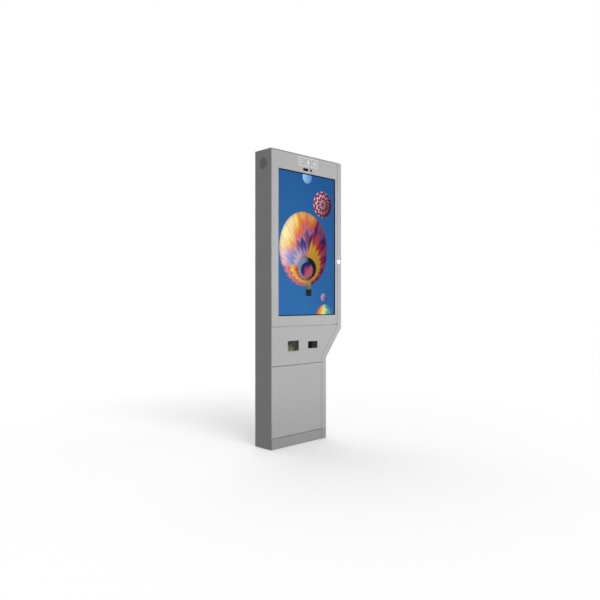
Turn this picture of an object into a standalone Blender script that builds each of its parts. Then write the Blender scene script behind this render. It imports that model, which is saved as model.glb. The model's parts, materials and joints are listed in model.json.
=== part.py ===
"""Free-standing ticket machine: a folded sheet-steel cabinet with a slanted step down to a
narrower pedestal, three pivoted front doors, a portrait display, a ticket printer with its
outlet, a contactless reader, a loudspeaker, fans and the electrical boxes.

Units are metres.  +Z is up, the front faces -Y, X runs to the right seen from the front.
The origin is on the floor, under the middle of the cabinet's width and depth.
"""
import math

import bmesh
import bpy
from mathutils import Matrix, Vector

# ---- driving sizes: cabinet -------------------------------------------------------------
HEIGHT = 2.080
WIDTH = 0.720
DEPTH = 0.170
PEDESTAL_WIDTH = 0.550
SLANT_BOTTOM = 0.602          # where the pedestal's right edge starts to lean out
SLANT_TOP = 0.819             # where it meets the full width
SHEET = 0.002                 # folded steel sheet
JAMB_WIDTH = 0.044            # fixed strip at the right of the doors
SEAM_UPPER = 0.847            # display door over service door
SEAM_MIDDLE = 0.572           # service door over lower door
SEAM_PLINTH = 0.076           # lower door over plinth cover
SEAM = 0.004
LEFT_GAP = 0.002
RIGHT_GAP = 0.003
TOP_GAP = 0.0035
CLEAR = 0.0003                # between pieces that touch
RUNNING = 0.0003              # radial, between a pin and its hole

# ---- doors and their pivots -------------------------------------------------------------
LIP = 0.012
PIVOT_IN = 0.010              # pivot axis from the door's left edge
PIVOT_BACK = 0.006            # pivot axis from the front face
PIVOT_R = 0.003
PIVOT_REACH = 0.008           # pin beyond each side of its plate
RAIL_HEIGHT = 0.040
RAIL_DEPTH = 0.030
RAIL_GAP = 0.004              # behind the doors

# ---- display door -----------------------------------------------------------------------
WINDOW_WIDTH = 0.585
WINDOW_HEIGHT = 1.032
WINDOW_BOTTOM = 0.920
WINDOW_EDGE = 0.0205          # steel between the window and the door's right edge
GLASS_LAP = 0.012
GASKET_THICK = 0.001
GLASS_THICK = 0.004
PANEL_WIDTH = 0.601
PANEL_HEIGHT = 1.046
PANEL_THICK = 0.014
PANEL_AIR = 0.0004            # between the glass and the panel
BAR_SIZE = (0.008, 0.036)     # cross bars behind the panel
BAR_SPREAD = 0.620
DRIVER_SIZE = (0.200, 0.016, 0.200)
CAMERA_SHIFT = -0.025         # from the window's middle
CAMERA_RISE = 0.026           # camera and sensor above the window
CAMERA_WIDTH = 0.054
CAMERA_HEIGHT = 0.020
SENSOR_SHIFT = 0.0285
SENSOR_R = 0.010
CAMERA_BODY = (0.116, 0.018)

# ---- lock in the jamb -------------------------------------------------------------------
LOCK_EDGE = 0.029             # from the right side
LOCK_Z = 1.327
LOCK_FLANGE_R = 0.013
LOCK_EDGE_CUT = 0.001
LOCK_BARREL_R = 0.0095
LOCK_PLUG_R = 0.0060
LOCK_PROUD = 0.003
LOCK_NUT_R = 0.012
LOCK_NUT_THICK = 0.005
LOCK_KEYWAY = (0.0014, 0.006, 0.007)
PLUG_PROUD = 0.0005
STRIKE_THICK = 0.003
CAM_BEHIND = 0.0015           # cam behind the barrel and the strike
CAM_LENGTH = 0.045
CAM_WIDTH = 0.014
CAM_THICK = 0.002

# ---- service door fittings --------------------------------------------------------------
OUTLET_LEFT = 0.156           # from the cabinet's left side
OUTLET_WIDTH = 0.109
OUTLET_BOTTOM = 0.669
OUTLET_HEIGHT = 0.075
CHUTE_DEPTH = 0.052
CHUTE_WALL = 0.003
TICKET_SLOT = (0.084, 0.012)
FLAP_THICK = 0.002
FLAP_BARREL_R = 0.003
FLAP_PIN_R = 0.001
FLAP_FRONT_GAP = 0.0012
FLAP_TOP_GAP = 0.0015
PRINT_DROP = 0.009            # printing line under the outlet's top
READER_LEFT = 0.359
READER_WIDTH = 0.098
READER_BOTTOM = 0.680
READER_HEIGHT = 0.052
READER_RIM = 0.008
READER_DEPTH = 0.038
BOLT_SIZE = (0.067, 0.005, 0.012)
BOLT_TRAVEL = 0.024
BOLT_KNOB_R = 0.003
BOLT_KNOB_LENGTH = 0.014
BOLT_GUIDE_LENGTH = 0.0345

# ---- ticket printer ---------------------------------------------------------------------
PRINTER_WIDTH = 0.101
PRINTER_LENGTH = 0.073
PRINTER_BELOW = 0.045         # printing line above the chassis floor
PRINTER_ABOVE = 0.025
PRINTER_SHEET = 0.0025
PRINTER_GAP = 0.002           # behind the chute
PLATEN_R = 0.007
PLATEN_IN = 0.018             # platen axis from the chassis front
PLATEN_LENGTH = 0.087
SHAFT_R = 0.0025
GEAR_MODULE = 0.0008
PLATEN_TEETH = 36
PINION_TEETH = 12
GEAR_THICK = 0.004
MOTOR_R = 0.010
MOTOR_LENGTH = 0.025
HEAD_SIZE = (0.081, 0.018, 0.015)
BLADE_THICK = 0.002
BLADE_HEIGHT = 0.022
LEVER_LENGTH = 0.030
LEVER_BOSS_R = 0.006
LEVER_THICK = 0.004
LEVER_WIDTH = 0.006
LEVER_BACK = 0.0375           # lever axis behind the roller
ROLL_R = 0.050
ROLL_WIDTH = 0.080
ROLL_BACK = 0.060             # roll axis from the cabinet's back
ROLL_UP = 0.100               # roll axis above the printing line
SPINDLE_R = 0.006
SHELF_DROP = 0.034

# ---- loudspeaker, fans, boxes -----------------------------------------------------------
SPEAKER_DROP = 0.097          # centre below the top
SPEAKER_R = 0.042
SPEAKER_FLANGE = 0.004
SPEAKER_DEPTH = 0.042
SPEAKER_RIM_THICK = 0.003
MAGNET_R = 0.024
MAGNET_DEPTH = 0.020
CONE_R = 0.036
CONE_DEPTH = 0.014
DUST_CAP_R = 0.012
FAN_SIZE = 0.120
FAN_DEPTH = 0.025
FAN_BORE_R = 0.056
FAN_HUB_R = 0.020
FAN_BLADES = 7
BLADE_LEAN = 0.007            # how far a blade leans round, each way
FAN_BLADE_THICK = 0.0024
BLADE_ROOT = 0.003            # blade inside its hub
BLADE_GAP = 0.003             # blade tip to bore
FAN_SPREAD = 0.180            # between the fan centres
FAN_DROP = 0.150              # fan centres below the top
VENT_SLOT = (0.090, 0.005)
VENT_PITCH = 0.012
VENT_ROWS = 8
INTAKE_Z = 0.250
CONTROLLER_SIZE = (0.230, 0.050, 0.200)
SUPPLY_SIZE = (0.210, 0.040, 0.120)
BOX_Z = 1.300
BOX_SPACE = 0.070
SWITCH_BOX_SIZE = (0.100, 0.050, 0.150)
SWITCH_BOX_Z = 0.380
ROCKER_SIZE = (0.026, 0.018)
ROCKER_PROUD = 0.006
ROCKER_POCKET = 0.012
ROCKER_CORE = 0.004
ROCKER_LIP = 0.001
ROCKER_TILT = math.radians(10)

# ---- base -------------------------------------------------------------------------------
BASE_THICK = 0.010
ANCHOR_R = 0.007
ANCHOR_IN = 0.040
CABLE_HOLE_R = 0.016
CABLE_BACK = 0.045
GLAND_BORE_R = 0.008
GLAND_HEIGHT = 0.028
PLINTH_LIFT = 0.002

# ---- places that follow from the driving sizes ------------------------------------------
LEFT = -WIDTH / 2
RIGHT = WIDTH / 2
PEDESTAL_RIGHT = LEFT + PEDESTAL_WIDTH
FRONT = -DEPTH / 2
BACK = DEPTH / 2
SKIN_BACK = FRONT + SHEET
GLASS_FRONT = SKIN_BACK + GASKET_THICK + 2 * CLEAR
PANEL_FRONT = GLASS_FRONT + GLASS_THICK + PANEL_AIR
PANEL_BACK = PANEL_FRONT + PANEL_THICK
DOOR_DEPTH = PANEL_BACK - FRONT        # the doors are as deep as the display's stack
DOOR_BACK = FRONT + DOOR_DEPTH
DOOR_LEFT = LEFT + SHEET + LEFT_GAP
DOOR_INSET = JAMB_WIDTH + RIGHT_GAP
RAIL_FRONT = DOOR_BACK + RAIL_GAP
REAR_INNER = BACK - SHEET
PIVOT_X = DOOR_LEFT + PIVOT_IN
PIVOT_Y = FRONT + PIVOT_BACK
SLANT_TURN = math.atan2(RIGHT - PEDESTAL_RIGHT, SLANT_TOP - SLANT_BOTTOM) / 2
WINDOW_RIGHT = RIGHT - DOOR_INSET - WINDOW_EDGE
WINDOW_LEFT = WINDOW_RIGHT - WINDOW_WIDTH
WINDOW_X = WINDOW_RIGHT - WINDOW_WIDTH / 2
WINDOW_TOP = WINDOW_BOTTOM + WINDOW_HEIGHT
WINDOW_Z = WINDOW_BOTTOM + WINDOW_HEIGHT / 2
CAMERA_X = WINDOW_X + CAMERA_SHIFT
SENSOR_X = WINDOW_X + SENSOR_SHIFT
CAMERA_Z = WINDOW_TOP + CAMERA_RISE
LOCK_X = RIGHT - LOCK_EDGE
LOCK_BACK = DOOR_BACK + STRIKE_THICK
OUTLET_X = LEFT + OUTLET_LEFT + OUTLET_WIDTH / 2
OUTLET_TOP = OUTLET_BOTTOM + OUTLET_HEIGHT
CHUTE_FRONT = SKIN_BACK + CLEAR
CHUTE_BACK = CHUTE_FRONT + CHUTE_DEPTH
READER_X = LEFT + READER_LEFT + READER_WIDTH / 2
READER_Z = READER_BOTTOM + READER_HEIGHT / 2
FLAP_AXIS_Y = CHUTE_FRONT + FLAP_BARREL_R + FLAP_FRONT_GAP
FLAP_AXIS_Z = OUTLET_TOP - FLAP_BARREL_R - FLAP_TOP_GAP
PRINT_LINE = OUTLET_TOP - PRINT_DROP
PRINTER_FRONT = CHUTE_BACK + PRINTER_GAP
PLATEN_Y = PRINTER_FRONT + PLATEN_IN
PLATEN_Z = PRINT_LINE - PLATEN_R
PLATEN_PITCH_R = GEAR_MODULE * PLATEN_TEETH / 2
PINION_PITCH_R = GEAR_MODULE * PINION_TEETH / 2
MOTOR_Y = PLATEN_Y + PLATEN_PITCH_R + PINION_PITCH_R
PRINTER_LEFT = OUTLET_X - PRINTER_WIDTH / 2
PRINTER_RIGHT = OUTLET_X + PRINTER_WIDTH / 2
ROLL_Y = BACK - ROLL_BACK
ROLL_Z = PRINT_LINE + ROLL_UP
SPEAKER_Z = HEIGHT - SPEAKER_DROP
ROUND_SEGMENTS = 24

SILVER = (0.42, 0.42, 0.43)
ZINC = (0.55, 0.56, 0.57)
BLACK = (0.015, 0.015, 0.017)
DARK = (0.06, 0.06, 0.065)


# ---- small makers -----------------------------------------------------------------------
def clear_scene():
    for obj in list(bpy.data.objects):
        bpy.data.objects.remove(obj, do_unlink=True)


def finish(name, colour, roughness=0.5, metallic=0.0):
    """A plain Principled material, made once for each name."""
    found = bpy.data.materials.get(name)
    if found:
        return found
    made = bpy.data.materials.new(name)
    made.use_nodes = True
    shader = made.node_tree.nodes["Principled BSDF"]
    shader.inputs["Base Color"].default_value = (*colour, 1.0)
    shader.inputs["Roughness"].default_value = roughness
    shader.inputs["Metallic"].default_value = metallic
    return made


def paint():
    return finish("silver_paint", SILVER, 0.45, 0.2)


def zinc():
    return finish("zinc_steel", ZINC, 0.4, 1.0)


def chrome():
    return finish("chrome", (0.8, 0.8, 0.8), 0.1, 1.0)


def black_plastic():
    return finish("black_plastic", BLACK, 0.35)


def dark_metal():
    return finish("dark_metal", DARK, 0.5, 0.5)


def box(low, high):
    """A block between two corners."""
    made = bmesh.new()
    bmesh.ops.create_cube(made, size=1.0)
    size = Vector(high) - Vector(low)
    bmesh.ops.scale(made, vec=size, verts=made.verts)
    bmesh.ops.translate(made, vec=(Vector(low) + Vector(high)) / 2, verts=made.verts)
    return made


def block(centre, size):
    half = Vector(size) / 2
    return box(Vector(centre) - half, Vector(centre) + half)


def prism(outline, axis, start, end):
    """A flat outline pushed along an axis: outline pairs are XZ for y, YZ for x, XY for z."""
    place = {
        "x": lambda a, b: (start, a, b),
        "y": lambda a, b: (a, start, b),
        "z": lambda a, b: (a, b, start),
    }[axis]
    step = Vector([end - start if letter == axis else 0.0 for letter in "xyz"])
    made = bmesh.new()
    face = made.faces.new([made.verts.new(place(a, b)) for a, b in outline])
    grown = bmesh.ops.extrude_face_region(made, geom=[face])
    moved = [item for item in grown["geom"] if isinstance(item, bmesh.types.BMVert)]
    bmesh.ops.translate(made, vec=step, verts=moved)
    bmesh.ops.recalc_face_normals(made, faces=made.faces)
    return made


def turned(profile, axis, centre, segments=ROUND_SEGMENTS):
    """A profile of (radius, place along the axis) turned right round the axis."""
    made = bmesh.new()
    points = [made.verts.new((radius, 0.0, along)) for radius, along in profile]
    edges = [made.edges.new(pair) for pair in zip(points, points[1:])]
    if profile[0][0] > 0.0 and profile[-1][0] > 0.0:
        edges.append(made.edges.new((points[-1], points[0])))
    bmesh.ops.spin(made, geom=points + edges, cent=(0, 0, 0), axis=(0, 0, 1),
                   angle=math.tau, steps=segments, use_merge=True)
    bmesh.ops.remove_doubles(made, verts=made.verts, dist=1e-6)
    bmesh.ops.recalc_face_normals(made, faces=made.faces)
    turn = {"x": Matrix.Rotation(math.pi / 2, 4, "Y"),
            "y": Matrix.Rotation(-math.pi / 2, 4, "X"),
            "z": Matrix.Identity(4)}[axis]
    bmesh.ops.transform(made, matrix=Matrix.Translation(centre) @ turn, verts=made.verts)
    return made


def rod(centre, axis, radius, start, end, segments=ROUND_SEGMENTS):
    """A plain round bar from start to end along its axis, through centre."""
    profile = [(0.0, start), (radius, start), (radius, end), (0.0, end)]
    return turned(profile, axis, centre, segments)


def pill(centre_x, centre_z, width, height, end_segments=8):
    """An outline with round ends, in X and Z."""
    radius = height / 2
    reach = width / 2 - radius
    points = []
    for side in (1, -1):
        for step in range(end_segments + 1):
            angle = side * math.pi / 2 - side * math.pi * step / end_segments
            if side < 0:
                angle = -math.pi / 2 - math.pi * step / end_segments
            points.append((centre_x + side * reach + radius * math.cos(angle),
                           centre_z + radius * math.sin(angle)))
    return points


def gear(teeth, centre_y, centre_z, first_angle, start, end):
    """A spur gear in YZ with straight-flanked teeth; first_angle is where a tooth points."""
    pitch_r = GEAR_MODULE * teeth / 2
    root_r = pitch_r - 1.25 * GEAR_MODULE
    tip_r = pitch_r + 0.9 * GEAR_MODULE
    pitch = math.tau / teeth
    outline = []
    for tooth in range(teeth):
        middle = first_angle + tooth * pitch
        for radius, share in ((root_r, -0.29), (tip_r, -0.11), (tip_r, 0.11), (root_r, 0.29)):
            angle = middle + share * pitch
            outline.append((centre_y + radius * math.cos(angle),
                            centre_z + radius * math.sin(angle)))
    return prism(outline, "x", start, end)


def piece(name, made, look, origin=(0, 0, 0), parent=None):
    """Turn a finished bmesh into a named object whose own origin lies at origin."""
    bmesh.ops.translate(made, vec=-Vector(origin), verts=made.verts)
    mesh = bpy.data.meshes.new(name)
    made.to_mesh(mesh)
    made.free()
    mesh.materials.append(look)
    mesh.shade_smooth()
    mesh.set_sharp_from_angle(angle=math.radians(35))
    obj = bpy.data.objects.new(name, mesh)
    bpy.context.collection.objects.link(obj)
    obj.location = origin
    if parent:
        obj.parent = parent
        obj.location = Vector(origin) - parent.location
    return obj


def combine(obj, made, operation):
    """Cut from or join to an object with a hidden helper, kept as an exact Boolean."""
    count = len(obj.modifiers) + 1
    mesh = bpy.data.meshes.new(f"{obj.name}_helper_{count}")
    made.to_mesh(mesh)
    made.free()
    helper = bpy.data.objects.new(mesh.name, mesh)
    bpy.context.collection.objects.link(helper)
    helper.hide_render = True
    helper.display_type = "WIRE"
    modifier = obj.modifiers.new(f"{operation.lower()}_{count}", "BOOLEAN")
    modifier.operation = operation
    modifier.solver = "EXACT"
    modifier.object = helper


def cut(obj, made):
    combine(obj, made, "DIFFERENCE")


def weld(obj, made):
    combine(obj, made, "UNION")


def pivot(name, place):
    """An empty on a joint's axis, which carries the pieces of a moving assembly."""
    empty = bpy.data.objects.new(name, None)
    bpy.context.collection.objects.link(empty)
    empty.location = place
    return empty


# ---- outlines of the front --------------------------------------------------------------
def right_x(z, inset):
    """X of the right side at a height, moved inwards squarely by inset."""
    rise = inset * math.tan(SLANT_TURN)
    share = (z - SLANT_BOTTOM - rise) / (SLANT_TOP - SLANT_BOTTOM)
    share = min(max(share, 0.0), 1.0)
    return PEDESTAL_RIGHT + share * (RIGHT - PEDESTAL_RIGHT) - inset


def right_path(inset, low, high):
    """The right side from high to low, with its corners at the slant."""
    rise = inset * math.tan(SLANT_TURN)
    corners = [z for z in (SLANT_TOP + rise, SLANT_BOTTOM + rise) if low < z < high]
    return [(right_x(z, inset), z) for z in [high, *corners, low]]


def front_outline(left, low, high, inset):
    """A door-like outline: straight at the left, following the slant at the right."""
    return [(left, low), (left, high), *right_path(inset, low, high)]


def strip_outline(outer_inset, inner_inset, low, high):
    """A band that follows the right side."""
    return right_path(outer_inset, low, high) + right_path(inner_inset, low, high)[::-1]


# ---- cabinet ----------------------------------------------------------------------------
def make_shell():
    outer = front_outline(LEFT, 0.0, HEIGHT, 0.0)
    inner = front_outline(LEFT + SHEET, 0.0, HEIGHT - SHEET, SHEET)
    shell = piece("cabinet_shell", prism(outer + inner[::-1], "y", FRONT, BACK), paint())
    top = HEIGHT - SHEET / 2
    weld(shell, prism(strip_outline(SHEET / 2, JAMB_WIDTH, 0.0, top), "y",
                      FRONT, SKIN_BACK))
    weld(shell, prism(strip_outline(JAMB_WIDTH - SHEET, JAMB_WIDTH, 0.0, top), "y",
                      FRONT + SHEET / 2, DOOR_BACK))
    cut(shell, rod((LEFT, 0, SPEAKER_Z), "x", SPEAKER_R, -SHEET, 2 * SHEET, 32))
    cut(shell, rod((LOCK_X, FRONT, LOCK_Z), "y", LOCK_BARREL_R + CLEAR, -SHEET, 2 * SHEET))


def vent_rows(centre_x, centre_z):
    """One helper mesh with a block for each slot of a vent."""
    rows = bmesh.new()
    for row in range(VENT_ROWS):
        z = centre_z + (row - (VENT_ROWS - 1) / 2) * VENT_PITCH
        slot = block((centre_x, BACK, z), (VENT_SLOT[0], 4 * SHEET, VENT_SLOT[1]))
        mesh = bpy.data.meshes.new("slot")
        slot.to_mesh(mesh)
        slot.free()
        rows.from_mesh(mesh)
        bpy.data.meshes.remove(mesh)
    return rows


def make_rear_panel():
    edge = SHEET + CLEAR
    outline = front_outline(LEFT + edge, BASE_THICK + CLEAR, HEIGHT - edge, edge)
    panel = piece("rear_panel", prism(outline, "y", REAR_INNER, BACK), paint())
    for side in (-1, 1):
        cut(panel, vent_rows(side * FAN_SPREAD / 2, HEIGHT - FAN_DROP))
    cut(panel, vent_rows(LEFT + PEDESTAL_WIDTH / 2, INTAKE_Z))


def make_base():
    edge = SHEET + CLEAR
    low = (LEFT + edge, FRONT + edge, 0.0)
    high = (PEDESTAL_RIGHT - edge, BACK, BASE_THICK)
    base = piece("base_plate", box(low, high), zinc())
    # the jamb's return reaches down beside the plate
    cut(base, box((PEDESTAL_RIGHT - JAMB_WIDTH - CLEAR, FRONT, -BASE_THICK),
                  (PEDESTAL_RIGHT - JAMB_WIDTH + SHEET + CLEAR, DOOR_BACK + CLEAR,
                   2 * BASE_THICK)))
    middle = LEFT + PEDESTAL_WIDTH / 2
    for side_x in (-1, 1):
        for side_y in (-1, 1):
            x = middle + side_x * (PEDESTAL_WIDTH / 2 - ANCHOR_IN - SHEET)
            y = side_y * (DEPTH / 2 - ANCHOR_IN)
            cut(base, rod((x, y, 0), "z", ANCHOR_R, -BASE_THICK, 2 * BASE_THICK))
    cut(base, rod((middle, BACK - CABLE_BACK, 0), "z", CABLE_HOLE_R,
                  -BASE_THICK, 2 * BASE_THICK))


def make_plinth_cover():
    high = SEAM_PLINTH - SEAM / 2
    left = DOOR_LEFT
    right = right_x(high, DOOR_INSET)
    outline = [(FRONT, PLINTH_LIFT), (FRONT, high), (DOOR_BACK, high),
               (DOOR_BACK, high - SHEET), (SKIN_BACK, high - SHEET), (SKIN_BACK, PLINTH_LIFT)]
    piece("plinth_cover", prism(outline, "x", left, right), paint())


def make_rail(name, z, right):
    """A channel behind a seam, which the doors close on."""
    low = z - RAIL_HEIGHT / 2
    high = z + RAIL_HEIGHT / 2
    back = RAIL_FRONT + RAIL_DEPTH
    outline = [(RAIL_FRONT, low), (RAIL_FRONT, high), (back, high), (back, high - SHEET),
               (RAIL_FRONT + SHEET, high - SHEET), (RAIL_FRONT + SHEET, low + SHEET),
               (back, low + SHEET), (back, low)]
    edge = SHEET + CLEAR
    piece(name, prism(outline, "x", LEFT + edge, right - edge), zinc())


def make_rails():
    make_rail("upper_rail", SEAM_UPPER, RIGHT)
    make_rail("middle_rail", SEAM_MIDDLE, right_x(SEAM_MIDDLE - RAIL_HEIGHT / 2, 0.0))
    make_rail("sill_rail", SEAM_PLINTH, PEDESTAL_RIGHT)


def make_pivots():
    """A plate in each seam, its welded pin carrying the doors above and below it."""
    top_z = HEIGHT - SHEET - CLEAR - SHEET / 2
    places = {"top": (top_z, PIVOT_REACH, 0.0),
              "upper": (SEAM_UPPER, PIVOT_REACH, PIVOT_REACH),
              "middle": (SEAM_MIDDLE, PIVOT_REACH, PIVOT_REACH),
              "sill": (SEAM_PLINTH, 0.0, PIVOT_REACH)}
    for name, (z, below, above) in places.items():
        low = (LEFT + SHEET + CLEAR, FRONT + CLEAR, z - SHEET / 2)
        high = (PIVOT_X + PIVOT_IN, RAIL_FRONT - CLEAR, z + SHEET / 2)
        plate = piece(f"{name}_pivot", box(low, high), zinc())
        weld(plate, rod((PIVOT_X, PIVOT_Y, z), "z", PIVOT_R, -below, above))


# ---- doors ------------------------------------------------------------------------------
def make_door(name, low, high, carrier):
    """A folded tray: skin, returns all round and a lip turned inwards at the back."""
    door = piece(name, prism(front_outline(DOOR_LEFT, low, high, DOOR_INSET), "y",
                             FRONT, DOOR_BACK),
                 paint(), (PIVOT_X, PIVOT_Y, low), carrier)
    inner = front_outline(DOOR_LEFT + SHEET, low + SHEET, high - SHEET, DOOR_INSET + SHEET)
    cut(door, prism(inner, "y", SKIN_BACK, DOOR_BACK - SHEET))
    mouth = front_outline(DOOR_LEFT + LIP, low + LIP, high - LIP, DOOR_INSET + LIP)
    cut(door, prism(mouth, "y", DOOR_BACK - 2 * SHEET, DOOR_BACK + SHEET))
    for z in (low, high):
        cut(door, rod((PIVOT_X, PIVOT_Y, z), "z", PIVOT_R + RUNNING,
                      -1.5 * SHEET, 1.5 * SHEET))
    return door


def make_display_door():
    low = SEAM_UPPER + SEAM / 2
    high = HEIGHT - SHEET - TOP_GAP
    carrier = pivot("display_door_pivot", (PIVOT_X, PIVOT_Y, low))
    door = make_door("display_door", low, high, carrier)
    cut(door, box((WINDOW_LEFT, FRONT - SHEET, WINDOW_BOTTOM),
                  (WINDOW_RIGHT, SKIN_BACK + SHEET, WINDOW_TOP)))
    cut(door, prism(pill(CAMERA_X, CAMERA_Z, CAMERA_WIDTH, CAMERA_HEIGHT), "y",
                    FRONT - SHEET, SKIN_BACK + SHEET))
    cut(door, rod((SENSOR_X, FRONT, CAMERA_Z), "y", SENSOR_R, -SHEET, 2 * SHEET))
    make_display(carrier)
    make_camera(carrier)
    make_strike(carrier)


def ring(low, high, width, start, end):
    """A rectangular frame in XZ between two depths, width wide all round, as one solid."""
    frame = box((low[0], start, low[1]), (high[0], end, high[1]))
    faces = [face for face in frame.faces if abs(face.normal.y) > 0.5]
    bmesh.ops.inset_individual(frame, faces=faces, thickness=width)
    bmesh.ops.bridge_loops(frame, edges=list({edge for face in faces for edge in face.edges}))
    bmesh.ops.delete(frame, geom=faces, context="FACES_ONLY")
    bmesh.ops.recalc_face_normals(frame, faces=frame.faces)
    return frame


def make_display(carrier):
    left = WINDOW_LEFT - GLASS_LAP
    right = WINDOW_RIGHT + GLASS_LAP
    low = WINDOW_BOTTOM - GLASS_LAP
    high = WINDOW_TOP + GLASS_LAP
    start = SKIN_BACK + CLEAR
    piece("display_gasket",
          ring((left, low), (right, high), GLASS_LAP, start, start + GASKET_THICK),
          finish("foam", (0.02, 0.02, 0.02), 0.9), parent=carrier)
    piece("display_glass",
          box((left, GLASS_FRONT, low), (right, GLASS_FRONT + GLASS_THICK, high)),
          finish("clear_glass", (0.9, 0.95, 0.95), 0.03), parent=carrier)
    piece("display_panel",
          block((WINDOW_X, (PANEL_FRONT + PANEL_BACK) / 2, WINDOW_Z),
                (PANEL_WIDTH, PANEL_THICK, PANEL_HEIGHT)),
          finish("lit_panel", (0.03, 0.13, 0.35), 0.2), parent=carrier)
    for side, name in ((-1, "lower"), (1, "upper")):
        piece(f"panel_bar_{name}", panel_bar(WINDOW_Z + side * BAR_SPREAD / 2), zinc(),
              parent=carrier)
    driver = block((WINDOW_X, PANEL_BACK + CLEAR + DRIVER_SIZE[1] / 2, WINDOW_Z), DRIVER_SIZE)
    piece("display_driver_box", driver, zinc(), parent=carrier)


def panel_bar(z):
    """A bent cross bar behind the display panel, screwed to the door's two side lips."""
    front = DOOR_BACK + CLEAR
    back = front + BAR_SIZE[0]
    low = z - BAR_SIZE[1] / 2
    high = z + BAR_SIZE[1] / 2
    outline = [(front, low), (front, high), (back, high), (back, high - SHEET),
               (front + SHEET, high - SHEET), (front + SHEET, low + SHEET),
               (back, low + SHEET), (back, low)]
    return prism(outline, "x", DOOR_LEFT + SHEET, right_x(z, DOOR_INSET + SHEET))


def make_camera(carrier):
    window = (CAMERA_WIDTH - 2 * CLEAR, CAMERA_HEIGHT - 2 * CLEAR)
    smoked = finish("smoked_window", BLACK, 0.1)
    face = FRONT + CLEAR
    end = SKIN_BACK + SHEET
    piece("camera_window",
          prism(pill(CAMERA_X, CAMERA_Z, *window), "y", face, end), smoked, parent=carrier)
    piece("sensor_window",
          rod((SENSOR_X, 0, CAMERA_Z), "y", SENSOR_R - CLEAR, face, end), smoked,
          parent=carrier)
    middle = (CAMERA_X - CAMERA_WIDTH / 2 + SENSOR_X + SENSOR_R) / 2
    tall = 2 * (CAMERA_RISE - GLASS_LAP - SHEET / 2)
    body = block((middle, end + CLEAR + CAMERA_BODY[1] / 2, CAMERA_Z), (*CAMERA_BODY, tall))
    piece("camera_module", body, black_plastic(), parent=carrier)


def make_strike(carrier):
    """A block on the display door's lip, which the lock's cam pulls against."""
    right = right_x(LOCK_Z, DOOR_INSET) - SHEET / 2
    low = (right - LIP + SHEET, DOOR_BACK + CLEAR, LOCK_Z - CAM_WIDTH)
    high = (right, LOCK_BACK, LOCK_Z + CAM_WIDTH)
    piece("display_door_strike", box(low, high), zinc(), parent=carrier)


def make_service_door():
    low = SEAM_MIDDLE + SEAM / 2
    high = SEAM_UPPER - SEAM / 2
    carrier = pivot("service_door_pivot", (PIVOT_X, PIVOT_Y, low))
    door = make_door("service_door", low, high, carrier)
    outlet = (OUTLET_WIDTH, 4 * SHEET, OUTLET_HEIGHT)
    cut(door, block((OUTLET_X, FRONT, (OUTLET_BOTTOM + OUTLET_TOP) / 2), outlet))
    cut(door, block((READER_X, FRONT, READER_Z), (READER_WIDTH, 4 * SHEET, READER_HEIGHT)))
    make_chute(carrier)
    make_flap(carrier)
    make_reader(carrier)
    make_bolt("service", SEAM_UPPER, carrier)


def make_chute(carrier):
    """An open tray behind the outlet, with a slot at its back for the tickets."""
    left = OUTLET_X - OUTLET_WIDTH / 2
    right = OUTLET_X + OUTLET_WIDTH / 2
    chute = piece("ticket_chute",
                  box((left - CHUTE_WALL, CHUTE_FRONT, OUTLET_BOTTOM - CHUTE_WALL),
                      (right + CHUTE_WALL, CHUTE_BACK, OUTLET_TOP + CHUTE_WALL)),
                  finish("olive_plastic", (0.10, 0.11, 0.06), 0.4), parent=carrier)
    cut(chute, box((left, CHUTE_FRONT - CHUTE_WALL, OUTLET_BOTTOM),
                   (right, CHUTE_BACK - CHUTE_WALL, OUTLET_TOP)))
    cut(chute, block((OUTLET_X, CHUTE_BACK - CHUTE_WALL / 2, PRINT_LINE),
                     (TICKET_SLOT[0], 3 * CHUTE_WALL, TICKET_SLOT[1])))
    reach = OUTLET_WIDTH / 2 + CHUTE_WALL - SHEET / 4
    cut(chute, rod((OUTLET_X, FLAP_AXIS_Y, FLAP_AXIS_Z), "x", FLAP_PIN_R + CLEAR,
                   -reach, reach, 12))


def make_flap(carrier):
    """A clear flap hung from a pin at the top of the outlet; it is pushed inwards."""
    half = OUTLET_WIDTH / 2 - 2 * FLAP_PIN_R
    axis = (OUTLET_X, FLAP_AXIS_Y, FLAP_AXIS_Z)
    clear = finish("clear_plastic", (0.75, 0.8, 0.75), 0.1)
    front = FLAP_AXIS_Y - FLAP_BARREL_R
    flap = piece("outlet_flap",
                 box((OUTLET_X - half, front, OUTLET_BOTTOM + FLAP_THICK),
                     (OUTLET_X + half, front + FLAP_THICK, FLAP_AXIS_Z)),
                 clear, axis, carrier)
    weld(flap, rod(axis, "x", FLAP_BARREL_R, -half, half, 16))
    cut(flap, rod(axis, "x", FLAP_PIN_R + RUNNING, -2 * half, 2 * half, 12))
    reach = OUTLET_WIDTH / 2 + CHUTE_WALL - SHEET / 2
    piece("outlet_flap_pin", rod(axis, "x", FLAP_PIN_R, -reach, reach, 12), zinc(),
          parent=carrier)


def make_reader(carrier):
    size = (READER_WIDTH - 2 * CLEAR, SHEET - 2 * CLEAR, READER_HEIGHT - 2 * CLEAR)
    piece("reader_window", block((READER_X, FRONT + SHEET / 2, READER_Z), size),
          finish("smoked_window", BLACK, 0.1), parent=carrier)
    rim = 2 * READER_RIM
    piece("reader_body",
          block((READER_X, SKIN_BACK + CLEAR + READER_DEPTH / 2, READER_Z),
                (READER_WIDTH + rim, READER_DEPTH, READER_HEIGHT + rim)),
          black_plastic(), parent=carrier)


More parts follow.
